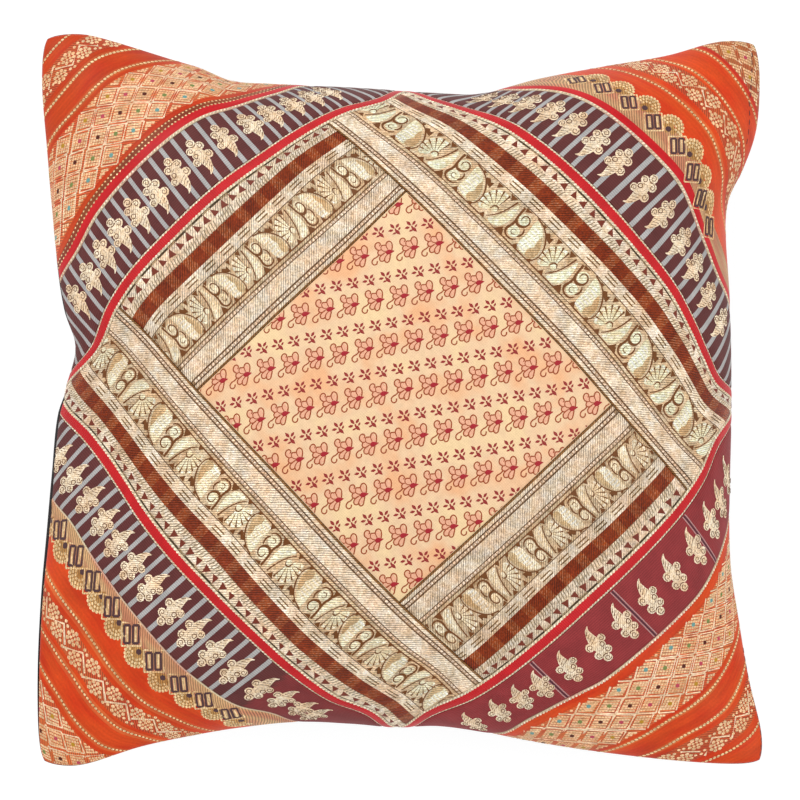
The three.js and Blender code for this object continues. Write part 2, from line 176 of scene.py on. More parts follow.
# Woven figures: mm that they sink in, the height of their rim as a share, and the least area of a face
# that is kept, doubled, in mm2
FIGURE_SINK = 0.05
RIM_LEVEL = 0.4
LEAST_FACE = 2e-3
# Along the left side the dark back cloth comes round to the face. For a quarter and its side, which is
# -1 to the right and 1 to the left, rows give (mm out, mm of dark cloth).
DARK_EDGES = {
    (1, 1): ((130, 4), (150, 4.5), (162, 9), (172, 10.5), (185, 8.5), (200, 6), (212, 3.5), (226, 1.4),
             (240, 0.8), (290, 0.8)),
    (2, -1): ((130, 13), (146, 13), (160, 12.5), (185, 12), (205, 9.5), (226, 6.2), (250, 3.6),
              (265, 2), (277, 0.8), (290, 0.8)),
}
# Each kind of piece: its width, the two lines that it lies between, and the neighbours' line that ends
# a full-length piece and a short one. Without one it runs into the cover's seam.
CUTS = {
    "panel": (PANEL_SIDE, "opposite", "panel", ("panel", "panel")),
    "gold": (GOLD_WIDTH, "panel", "ribbon_inner", ("ribbon_inner", "panel")),
    "ribbon": (RIBBON_WIDTH, "ribbon_inner", "ribbon_outer", (None, "ribbon_inner")),
    "sprig": (SPRIG_WIDTH, "ribbon_outer", "corner", (None, "ribbon_inner")),
    "corner": (CORNER_DEPTH, "corner", "tip", (None, "ribbon_inner")),
}


def linear(hex_colour):
    """Linear colour with alpha, from an sRGB hex value."""
    parts = [int(hex_colour[i:i + 2], 16) / 255 for i in (1, 3, 5)]
    return [c / 12.92 if c <= 0.04045 else ((c + 0.055) / 1.055) ** 2.4 for c in parts] + [1]


def colour_setting(name, description, hex_colour):
    return FloatVectorProperty(name=name, description=description, subtype="COLOR", size=4, min=0, max=1,
                               default=linear(hex_colour))


class CoverSizes(bpy.types.PropertyGroup):
    """Sizes of the sewn cover and of what fills it."""

    flat_side: FloatProperty(name="Flat side", description="Side of the empty cover laid flat",
                             default=0.406, min=0.2, unit="LENGTH")
    crown: FloatProperty(name="Crown", description="Height of the face's middle over the seam",
                         default=0.070, min=0, unit="LENGTH")
    back_form: FloatProperty(name="Back form", description="Depth of the back under the seam",
                             default=0.063, min=0, unit="LENGTH")
    seam_height: FloatProperty(name="Seam height", description="Height of the seam over the floor",
                               default=0.058, min=0, unit="LENGTH")
    cloth: FloatProperty(name="Cloth", description="Thickness of a sewn-on strip with its lining",
                         default=0.0011, min=0, unit="LENGTH")


class CoverColours(bpy.types.PropertyGroup):
    """Colours of the cloths and threads."""

    silk: colour_setting("Panel silk", "Ground of the centre panel", "#f2cda5")
    flower: colour_setting("Flower silk", "Woven outlines on the centre panel", "#a24e2c")
    gilt: colour_setting("Gilt thread", "Ground of the gold border", "#f2dcbf")
    brown: colour_setting("Brown silk", "Outlines in the gold border", "#74451f")
    rust: colour_setting("Rust silk", "Stripe of the gold border", "#86330e")
    ribbon: colour_setting("Ribbon", "Red ribbon along the gold border", "#c82126")
    wine: colour_setting("Wine silk", "Ground of the sprig strips", "#643230")
    red_wine: colour_setting("Red wine silk", "Ground of the plain sprig strip", "#933436")
    stripe: colour_setting("Grey silk", "Stripes of the sprig strips", "#b3b0ae")
    orange: colour_setting("Orange silk", "Ground of the corner pieces", "#da4a18")
    cream: colour_setting("Cream thread", "Lattice and chains of the corner pieces", "#f4d3a2")
    navy: colour_setting("Navy silk", "Outlines in the corner pieces", "#553a3c")
    back: colour_setting("Back cotton", "Plain back of the cover", "#231e1f")


def tone(colour, share):
    """A colour made darker or lighter by a share."""
    return [min(1, part * share) for part in colour[:3]] + [1]


def through_rows(rows, at):
    """A smooth curve through (place, value) rows, level beyond its ends."""
    place, value = np.array(rows, float).T
    where = np.clip(at, place[0], place[-1])
    slope = np.empty_like(value)
    slope[1:-1] = (value[2:] - value[:-2]) / (place[2:] - place[:-2])
    slope[0] = (value[1] - value[0]) / (place[1] - place[0])
    slope[-1] = (value[-1] - value[-2]) / (place[-1] - place[-2])
    k = np.clip(np.searchsorted(place, where, side="right") - 1, 0, len(place) - 2)
    span = place[k + 1] - place[k]
    t = (where - place[k]) / span
    rise = t * t * (3 - 2 * t)
    bend = t * (1 - t) * ((1 - t) * slope[k] - t * slope[k + 1]) * span
    return value[k] * (1 - rise) + value[k + 1] * rise + bend


def square_grid(cells):
    """Places u and v from -1 to 1 over the flat square."""
    shares = np.linspace(-1, 1, cells + 1)
    return np.meshgrid(shares, shares)


class Cover:
    """The filled cover as two grids over the flat square, in mm, and what is laid on its front."""

    def __init__(self, sizes):
        self.sizes = sizes
        self.half = sizes.flat_side / MM / 2
        self.sections = {name: self.section(side) for name, side in SIDES.items()}
        u, v = square_grid(FORM_CELLS)
        self.front = self.form(u, v, True)
        self.front[..., 2] += finer(settled(self), FORM_CELLS)
        normal = np.cross(np.gradient(self.front, axis=1), np.gradient(self.front, axis=0))
        self.normal = normal / np.linalg.norm(normal, axis=-1, keepdims=True)

    def section(self, side):
        """Shares of the way along the cloth and of the way to the side, down a section of the crown."""
        across = np.sin(np.linspace(0, 1, FORM_CELLS + 1) * np.pi / 2)
        up = self.sizes.crown / MM * (1 - across ** side["power"]) ** SECTION_BLUNTNESS
        steps = np.hypot(np.diff(across) * side["reach"] * self.half, np.diff(up))
        length = np.concatenate([[0], np.cumsum(steps)])
        return length / length[-1], across

    def across(self, part, low, high):
        """Share of the way to a side seen from above, for a share of the way along the cloth."""
        share = np.abs(part)
        return np.where(part < 0, -np.interp(share, *self.sections[low]),
                        np.interp(share, *self.sections[high]))

    @staticmethod
    def drawn_in(name, along, reach):
        """How far a side is drawn in, in mm, at a share along it and a share of the way out to it."""
        side = SIDES[name]
        bow = side["bow"] * (1 - np.abs(2 * along - 1) ** 2.4)
        return bow * reach + (through_rows(side["rows"], along) - bow) * reach ** DENT_FADE

    def plan(self, x, y):
        """Where a point lies seen from above, x and y being shares of the way to the sides."""
        corners = [((1 - x) * (1 + y), "top_left"), ((1 + x) * (1 + y), "top_right"),
                   ((1 - x) * (1 - y), "bottom_left"), ((1 + x) * (1 - y), "bottom_right")]
        plan_x = sum(share * TIPS[tip][0] for share, tip in corners) / 4
        plan_y = sum(share * TIPS[tip][1] for share, tip in corners) / 4
        plan_x += np.where(x < 0, self.drawn_in("left", (1 - y) / 2, np.abs(x)),
                           -self.drawn_in("right", (1 - y) / 2, np.abs(x)))
        plan_y += np.where(y < 0, self.drawn_in("bottom", (1 + x) / 2, np.abs(y)),
                           -self.drawn_in("top", (1 + x) / 2, np.abs(y)))
        middle = (1 - x * x) * (1 - y * y)
        plan_x += PANEL_SHEAR_ACROSS * y * middle
        plan_y += (PANEL_SHIFT - PANEL_SHEAR_DOWN * x) * middle
        return plan_x, plan_y

    def form(self, u, v, on_front):
        """Points of one face, in mm, for places u and v from -1 to 1 on the flat square."""
        x = self.across(u, "left", "right")
        y = self.across(v, "bottom", "top")
        x, y = (x + (u - x) * np.abs(v) ** SEAM_PULL, y + (v - y) * np.abs(u) ** SEAM_PULL)
        tuck = 1 - CORNER_ROUNDING * np.abs(u * v) ** 20
        plan_x, plan_y = self.plan(x * tuck, y * tuck)

        def swell(part, other, low, high):
            power = np.where(part < 0, SIDES[low]["power"], SIDES[high]["power"])
            blunt = SECTION_BLUNTNESS + (CORNER_BLUNTNESS - SECTION_BLUNTNESS) * other * other
            return np.maximum(0, 1 - np.abs(part) ** power) ** blunt

        full = swell(x, y, "left", "right") * swell(y, x, "bottom", "top")
        seam = self.sizes.seam_height / MM - CORNER_DROOP * (u * v) ** 4
        if not on_front:
            return np.stack([plan_x, plan_y, np.maximum(0, seam - self.sizes.back_form / MM * full)], -1)
        dent = np.zeros_like(full)
        for pu, pv, depth, long, wide, turn in PUCKERS:
            along = (u - pu) * math.cos(turn) + (v - pv) * math.sin(turn)
            aside = (v - pv) * math.cos(turn) - (u - pu) * math.sin(turn)
            dent += depth * np.exp(-(along / long) ** 2 - (aside / wide) ** 2)
        high = seam + self.sizes.crown / MM * full - dent * np.minimum(1, full * 3)
        return np.stack([plan_x, plan_y, high], -1)

    def on_front(self, flat_x, flat_y, lift):
        """Points in metres, lift mm off the front, for places in mm on the flat square."""
        last = FORM_CELLS - 1e-6
        column = np.clip((flat_x / self.half + 1) / 2 * FORM_CELLS, 0, last)
        row = np.clip((flat_y / self.half + 1) / 2 * FORM_CELLS, 0, last)
        i, j = column.astype(int), row.astype(int)
        a, b = (column - i)[..., None], (row - j)[..., None]

        def between(grid):
            low = grid[j, i] * (1 - a) + grid[j, i + 1] * a
            high = grid[j + 1, i] * (1 - a) + grid[j + 1, i + 1] * a
            return low * (1 - b) + high * b

        return (between(self.front) + between(self.normal) * np.asarray(lift)[..., None]) * MM


def finer(grid, cells):
    """A square grid of values, drawn out smoothly to more cells."""
    for _ in range(2):
        last = len(grid) - 1
        at = np.linspace(0, last, cells + 1)
        first = np.minimum(at.astype(int), last - 1)
        t = (at - first)[:, None]
        a, b, c, d = (grid[np.clip(first + shift, 0, last)] for shift in (-1, 0, 1, 2))
        bend = t * (c - a) + t ** 2 * (2 * a - 5 * b + 4 * c - d) + t ** 3 * (3 * b - 3 * c + d - a)
        grid = (b + bend / 2).T
    return grid


def settled(cover):
    """How far the front rises or sinks, in mm, once the two sewn faces are pressed out by filling.

    The faces are cut flat, held at the seam and where the back rests, and settle as cloth. Only their
    height is used, so that the seams stay in place.
    """
    u, v = square_grid(SETTLING_CELLS)
    inside, used, quads = two_faces(u, v)
    points = np.concatenate([cover.form(u, v, side).reshape(-1, 3) for side in (True, False)]) * MM
    height = np.full(u.shape, cover.sizes.seam_height)
    flat = np.stack([u * cover.half * MM, v * cover.half * MM, height], -1)
    flat = np.concatenate([flat.reshape(-1, 3)] * 2)
    cloth = mesh_object("settling_cloth", points[used], quads, [])
    cloth.shape_key_add(name="Filled")
    pattern = cloth.shape_key_add(name="Cut flat")
    pattern.value = 0
    pattern.data.foreach_set("co", flat[used].astype(np.float32).ravel())
    held = np.concatenate([~inside.ravel(), points[u.size:, 2] < 1e-5])[used]
    group = cloth.vertex_groups.new(name="Seam and rest")
    group.add(np.flatnonzero(held).tolist(), 1.0, "REPLACE")
    settings = cloth.modifiers.new("Cloth", "CLOTH").settings
    for key, value in {
            "quality": 6, "mass": 0.3, "use_pressure": True, "uniform_pressure_force": SETTLING_PRESSURE,
            "tension_stiffness": 5, "compression_stiffness": 5, "shear_stiffness": 1.5,
            "bending_stiffness": 0.1, "tension_damping": 25, "compression_damping": 25, "shear_damping": 25,
            "bending_damping": 2, "air_damping": 5, "vertex_group_mass": group.name,
            "rest_shape_key": pattern}.items():
        setattr(settings, key, value)
    settings.effector_weights.gravity = 0
    scene = bpy.context.scene
    for moment in range(1, SETTLING_FRAMES + 1):
        scene.frame_set(moment)
    after = cloth.evaluated_get(bpy.context.evaluated_depsgraph_get()).data
    moved = np.zeros(len(used) * 3, np.float32)
    after.vertices.foreach_get("co", moved)
    rise = (moved.reshape(-1, 3)[:u.size, 2] - points[:u.size, 2]) / MM
    bpy.data.objects.remove(cloth)
    scene.frame_set(1)
    rise = np.clip(rise, -SETTLING_LIMIT, SETTLING_LIMIT).reshape(u.shape)
    # Evened out so that only folds wider than a cell or two of the cloth stay
    for _ in range(4):
        around = np.pad(rise, 1)
        rise = ((around[:-2] + 2 * around[1:-1] + around[2:]) / 4)[:, 1:-1].T
    return rise


COVERS = {}


def the_cover(context):
    """The filled cover in its present sizes, worked out once for each set of them."""
    sizes = context.scene.cushion_sizes
    key = (sizes.flat_side, sizes.crown, sizes.back_form, sizes.seam_height)
    if key not in COVERS:
        COVERS[key] = Cover(sizes)
    return COVERS[key]


def line(quarter, name, aside):
    """How far out a sewn line of a quarter lies, in mm. A ribbon has an inner and an outer edge."""
    name, _, edge = name.partition("_")
    shift = {"inner": -RIBBON_WIDTH / 2, "outer": RIBBON_WIDTH / 2}.get(edge, 0)
    return through_rows(QUARTERS[quarter % 4][name], aside) + shift


def bent(quarter, aside, out):
    """How far the woven stripes of a corner run in or out of true, for their true distance out."""
    bend = CORNER_BENDS[quarter]
    seam = line(quarter, "corner", aside) - line(quarter, "corner", np.zeros(1))
    low, high = through_rows(bend["low"], aside), through_rows(bend["high"], aside)
    towards_tip, loose = (np.clip((out - start) / length, 0, 1)
                          for start, length in (LOW_TO_HIGH, SEAM_TO_FREE))
    free = low + (high - low) * towards_tip
    return seam + (free - seam) * loose * loose * (3 - 2 * loose)


class Cut:
    """A piece as it is cut. aside runs along it, and across rises from 0 to its width."""

    def __init__(self, cover, kind, quarter=0, wander=()):
        self.cover, self.quarter, self.wander = cover, quarter, wander
        self.width, self.inner, self.outer, ends = CUTS[kind]
        self.neighbour = ends[quarter % 2]
        self.meets_dark_edge = kind in ("ribbon", "sprig", "corner")
        self.reach = cover.half * math.sqrt(2)
        self.thickness = cover.sizes.cloth / MM

    def lines(self, aside):
        """How far out the piece starts and stops, just inside its two lines."""
        if self.inner == "opposite":
            low = -line(self.quarter + 2, "panel", -aside)
        else:
            low = line(self.quarter, self.inner, aside)
        if self.outer == "tip":
            high = np.full_like(aside, self.reach - 2 * SEAM_MARGIN)
        else:
            high = line(self.quarter, self.outer, aside)
        return low + PIECE_GAP, high - PIECE_GAP

    def out(self, aside, across):
        """How far out a place of the piece lies."""
        low, high = self.lines(aside)
        out = low + (high - low) * across / self.width
        if self.wander:
            inner, outer = (across - WANDER_START) / WANDER_RISE, (self.width - across) / WANDER_FALL
            out = out + through_rows(self.wander, aside) * np.clip(np.minimum(inner, outer), 0, 1)
        return out

    def across(self, aside, out):
        """How far across the piece a place lies that is a distance out."""
        low, high = self.lines(aside)
        return (out - low) / (high - low) * self.width

    def end(self, side, out):
        """Where the piece ends to one side, at a distance out. side is -1 to the right, 1 to the left."""
        dark = self.meets_dark_edge and DARK_EDGES.get((self.quarter, side))
        room = self.reach - out - (through_rows(dark, out) if dark else SEAM_MARGIN)
        if self.neighbour:
            room = np.minimum(room, line(self.quarter + side, self.neighbour, -side * out) - PIECE_GAP)
        return side * room

    def ends(self, across):
        """Where the piece ends to the right and to the left, at places across it."""
        found = []
        for side in (-1, 1):
            aside = np.zeros_like(across)
            for _ in range(5):
                aside = self.end(side, self.out(aside, across))
            found.append(aside)
        return found

    def flat(self, aside, across):
        """Places on the flat square, as x and y in mm."""
        angle = math.pi / 4 + self.quarter * math.pi / 2
        out = self.out(aside, across)
        return (out * math.cos(angle) - aside * math.sin(angle),
                out * math.sin(angle) + aside * math.cos(angle))

    def seam_distance(self, aside, across):
        """Distance on the flat cloth from the cover's outer seam."""
        flat_x, flat_y = self.flat(aside, across)
        return self.cover.half - np.maximum(np.abs(flat_x), np.abs(flat_y))

    def top(self, aside, across):
        """Height of the cloth's face, which sinks at its sewn edges and turns in at the seam."""
        right, left = self.ends(across)
        edge = np.minimum.reduce([across, self.width - across, aside - right, left - aside])
        soft = 1 - EDGE_LOSS * np.exp(-np.maximum(edge, 0) / EDGE_SOFTNESS)
        turned = np.clip(self.seam_distance(aside, across) / SEAM_TURN, 0, 1)
        level = SEAM_SHARE + (1 - SEAM_SHARE) * turned * (2 - turned)
        return UNDERSIDE + self.thickness * soft * level

    def points(self, aside, across, lift):
        """Points in metres, lift mm off the filled form."""
        flat_x, flat_y = self.flat(aside, across)
        return self.cover.on_front(flat_x, flat_y, lift)


def spaced(length, step):
    """Places from 0 to length, closer together at both edges."""
    near = [place for place in EDGE_LINES if place < length / 3]
    inner = np.linspace(near[-1], length - near[-1], max(2, int((length - 2 * near[-1]) / step) + 1))
    return np.array(near[:-1] + list(inner) + [length - place for place in near[:-1][::-1]])


def quads_of(rows, columns):
    """Quads of a grid of points, counted row by row."""
    first = (np.arange(rows - 1)[:, None] * columns + np.arange(columns - 1)[None, :]).ravel()
    return np.stack([first, first + 1, first + columns + 1, first + columns], -1)


def two_faces(u, v):
    """Quads of a front and a back grid that share their edge, with the inner places and points used."""
    inside = (np.abs(u) < 1) & (np.abs(v) < 1)
    number = np.arange(u.size).reshape(u.shape)
    under = np.where(inside, number + u.size, number)
    face = quads_of(*u.shape)
    used, quads = np.unique(np.concatenate([face, under.ravel()[face][:, ::-1]]), return_inverse=True)
    return inside, used, quads.reshape(-1, 4)


def mesh_object(name, points, quads, materials, cloth_mm=None, material_of=None):
    """A smooth mesh piece from points in metres. cloth_mm gives each point its place on the cloth."""
    mesh = bpy.data.meshes.new(name)
    mesh.from_pydata(points.reshape(-1, 3).tolist(), [], quads.tolist())
    mesh.polygons.foreach_set("use_smooth", np.ones(len(mesh.polygons), bool))
    for material in materials:
        mesh.materials.append(material)
    if material_of is not None:
        mesh.polygons.foreach_set("material_index", material_of.astype(np.int32))
    if cloth_mm is not None:
        place = mesh.attributes.new("cloth_mm", "FLOAT_VECTOR", "POINT")
        place.data.foreach_set("vector", cloth_mm.astype(np.float32).ravel())
    mesh.update()
    made = bpy.data.objects.new(name, mesh)
    bpy.context.scene.collection.objects.link(made)
    return made


def cloth_slab(name, cut, material, step=CLOTH_STEP):
    """The cut piece as thin cloth with soft edges, closed underneath."""
    across = spaced(cut.width, step)
    right, left = cut.ends(across)
    span = float(np.max(left - right))
    share = spaced(span, step) / span
    aside = right[:, None] + (left - right)[:, None] * share[None, :]
    across = np.broadcast_to(across[:, None], aside.shape)
    rows, columns = aside.shape
    top = cut.points(aside, across, cut.top(aside, across))
    under = cut.points(aside, across, np.full(aside.shape, UNDERSIDE))
    layer = rows * columns
    face = quads_of(rows, columns)
    rim = np.concatenate([np.arange(columns), np.arange(1, rows) * columns + columns - 1,
                          (rows - 1) * columns + np.arange(columns - 2, -1, -1),
                          np.arange(rows - 2, 0, -1) * columns])
    after = np.roll(rim, -1)
    walls = np.stack([rim, after, after + layer, rim + layer], -1)
    quads = np.concatenate([face[:, ::-1], face + layer, walls])
    place = np.stack([aside, across, np.zeros_like(aside)], -1)
    both = np.concatenate([top.reshape(-1, 3), under.reshape(-1, 3)])
    return mesh_object(name, both, quads, [material], np.concatenate([place, place]).reshape(-1, 3))


def smooth_path(rows, closed=False, steps=3):
    """Rows along a smooth curve through given rows, whatever their columns are."""
    hand = np.array(rows, float)
    count = len(hand)
    if closed:
        before, first, second, after = (np.roll(hand, shift, axis=0) for shift in (1, 0, -1, -2))
    else:
        padded = np.concatenate([2 * hand[:1] - hand[1:2], hand, 2 * hand[-1:] - hand[-2:-1]])
        before, first, second, after = (padded[k:k + count - 1] for k in range(4))
    t = (np.arange(steps) / steps)[None, :, None]
    before, first, second, after = (part[:, None, :] for part in (before, first, second, after))
    curve = first + t * (second - before) / 2 + t ** 2 * (before - 2.5 * first + 2 * second - after / 2)
    curve = curve + t ** 3 * (1.5 * (first - second) + (after - before) / 2)
    curve = curve.reshape(-1, hand.shape[1])
    return curve if closed else np.concatenate([curve, hand[-1:]])


def around(x, y, turn, reach, tall=None):
    """A point round (x, y), at a turn in radians and a reach, with another reach upwards if it is tall."""
    return x + reach * math.cos(turn), y + (reach if tall is None else tall) * math.sin(turn)


class Figure:
    """A woven figure in mm. x runs right and y outwards, and each point has a height from 0 to 1."""

    def __init__(self):
        self.points = np.zeros((0, 3))
        self.quads = np.zeros((0, 4), int)

    def add(self, points, quads):
        self.quads = np.concatenate([self.quads, quads + len(self.points)])
        self.points = np.concatenate([self.points, points])
        return self

    def stroke(self, rows, width=None, closed=False, smooth=True, level=1):
        """A raised line through rows of (x, y) or of (x, y, width)."""
        rows = np.array(rows, float)
        if width is not None:
            rows = np.column_stack([rows, np.full(len(rows), width)])
        path = smooth_path(rows, closed) if smooth else rows
        if closed:
            path = np.concatenate([path, path[:1]])
        ahead = np.gradient(path[:, :2], axis=0)
        if closed:
            ahead[0] = ahead[-1] = ahead[0] + ahead[-1]
        length = np.maximum(np.linalg.norm(ahead, axis=1, keepdims=True), 1e-6)
        side = np.stack([-ahead[:, 1], ahead[:, 0]], -1) / length * path[:, 2:3] / 2
        middle = np.column_stack([path[:, :2], np.full(len(path), level)])
        low = np.full((len(path), 1), RIM_LEVEL * level)
        left = np.hstack([path[:, :2] + side, low])
        right = np.hstack([path[:, :2] - side, low])
        points = np.stack([right, middle, left], 1).reshape(-1, 3)
        return self.add(points, quads_of(len(path), 3)[:, ::-1])

    def patch(self, outline, smooth=True, level=1, steps=2):
        """A filled, softly raised shape inside an outline of (x, y) rows."""
        rim = smooth_path(outline, True, steps) if smooth else np.array(outline, float)
        if len(rim) % 2:
            rim = np.concatenate([rim, [(rim[-1] + rim[0]) / 2]])
        count, middle = len(rim), rim.mean(0)
        rings = [np.column_stack([middle + (rim - middle) * share, np.full(count, height * level)])
                 for share, height in ((1, RIM_LEVEL), (0.84, 0.85), (0.5, 1))]
        ring = np.arange(count)
        after = np.roll(ring, -1)
        quads = [np.stack([k * count + ring, k * count + after, (k + 1) * count + after,
                           (k + 1) * count + ring], -1) for k in range(2)]
        even = ring[::2]
        cap = np.stack([np.full(len(even), 3 * count), 2 * count + even, 2 * count + even + 1,
                        2 * count + (even + 2) % count], -1)
        points = np.concatenate(rings + [[[*middle, level]]])
        turned = np.cross(rim - middle, np.roll(rim, -1, axis=0) - middle).sum() < 0
        quads = np.concatenate(quads + [cap])
        return self.add(points, quads[:, ::-1] if turned else quads)

    def dot(self, x, y, radius, tall=None, level=1, sides=8):
        """A round or upright oval pearl."""
        angle = np.arange(sides) * 2 * math.pi / sides
        tall = radius if tall is None else tall
        rim = np.column_stack([x + radius * np.cos(angle), y + tall * np.sin(angle),
                               np.full(sides, RIM_LEVEL * level)])
        even = np.arange(0, sides, 2)
        cap = np.stack([np.full(len(even), sides), even, even + 1, (even + 2) % sides], -1)
        return self.add(np.concatenate([rim, [[x, y, level]]]), cap)


class Sewing:
    """Figures laid on a cut piece and gathered into one mesh."""

    def __init__(self, cut):
        self.cut = cut
        self.parts = []

    def lay(self, figure, places, thread, relief, margin=0.5):
        """Repeats a figure at rows of (aside, across, turn in degrees, stretch along, stretch out).

        The last three may be left off. relief is its height in mm, and margin keeps it off the edges.
        """
        cut, count = self.cut, len(figure.points)
        rows = np.array([list(row) + [0, 1, 1][len(row) - 2:] for row in places], float)
        if not len(rows):
            return self
        turn = np.radians(rows[:, 2])[:, None]
        x = figure.points[None, :, 0] * rows[:, 3:4]
        y = figure.points[None, :, 1] * rows[:, 4:5]
        aside = rows[:, 0:1] - (x * np.cos(turn) - y * np.sin(turn))
        across = rows[:, 1:2] + x * np.sin(turn) + y * np.cos(turn)
        height = np.broadcast_to(figure.points[None, :, 2], x.shape)
        aside, across, height = (part.ravel() for part in (aside, across, height))
        beyond = (across < 0) | (across > cut.width)
        across = np.clip(across, margin, cut.width - margin)
        right, left = cut.ends(across)
        beyond |= (aside < right) | (aside > left)
        aside = np.clip(aside, right + margin, np.maximum(left - margin, right + margin))
        quads = (figure.quads[None] + np.arange(len(rows))[:, None, None] * count).reshape(-1, 4)
        diagonals = [aside[quads[:, k + 2]] - aside[quads[:, k]] for k in (0, 1)]
        rises = [across[quads[:, k + 2]] - across[quads[:, k]] for k in (0, 1)]
        kept = np.abs(diagonals[0] * rises[1] - diagonals[1] * rises[0]) > LEAST_FACE
        kept &= ~beyond[quads].all(1)
        self.parts.append((aside, across, height * relief - FIGURE_SINK, quads[kept], thread))
        return self

    def weave(self, figure, aside, out, thread, relief, turn=0.0, size=1.0):
        """Repeats a figure at true places of a corner, whose cloth wanders."""
        aside, out = np.broadcast_arrays(np.asarray(aside, float), np.asarray(out, float))
        across = self.cut.across(aside, out + bent(self.cut.quarter, aside, out))
        places = [(a, b, turn, size, size) for a, b in zip(aside.ravel(), across.ravel())]
        return self.lay(figure, places, thread, relief)

    def mesh(self, name, place=None):
        """The figures as one piece. place turns aside and across into what the threads read."""
        start, quads = 0, []
        for aside, _, _, faces, _ in self.parts:
            quads.append(faces + start)
            start += len(aside)
        aside, across, lift = (np.concatenate([part[k] for part in self.parts]) for k in range(3))
        threads = list(dict.fromkeys(part[4] for part in self.parts))
        kind = np.concatenate([np.full(len(part[3]), threads.index(part[4])) for part in self.parts])
        used, quads = np.unique(np.concatenate(quads), return_inverse=True)
        aside, across, lift = aside[used], across[used], lift[used]
        near_seam = np.clip(self.cut.seam_distance(aside, across) / 3, 0.1, 1)
        points = self.cut.points(aside, across, self.cut.top(aside, across) + lift * near_seam)
        place = place(aside, across) if place else np.stack([aside, across, np.zeros_like(aside)], -1)
        return mesh_object(name, points, quads.reshape(-1, 4), threads, place, kind)


# Blender's Wave Texture makes this many bands in one unit: along one axis, and along a diagonal
AXIS_BANDS = 20 / (2 * math.pi)
DIAGONAL_BANDS = 10 / (2 * math.pi)
# Settings of a Mix node for colours. Its inputs are the factor 0 and the colours 6 and 7.
BLENDED = {"gives": 2, "data_type": "RGBA"}
MULTIPLIED = {"blend_type": "MULTIPLY", **BLENDED}


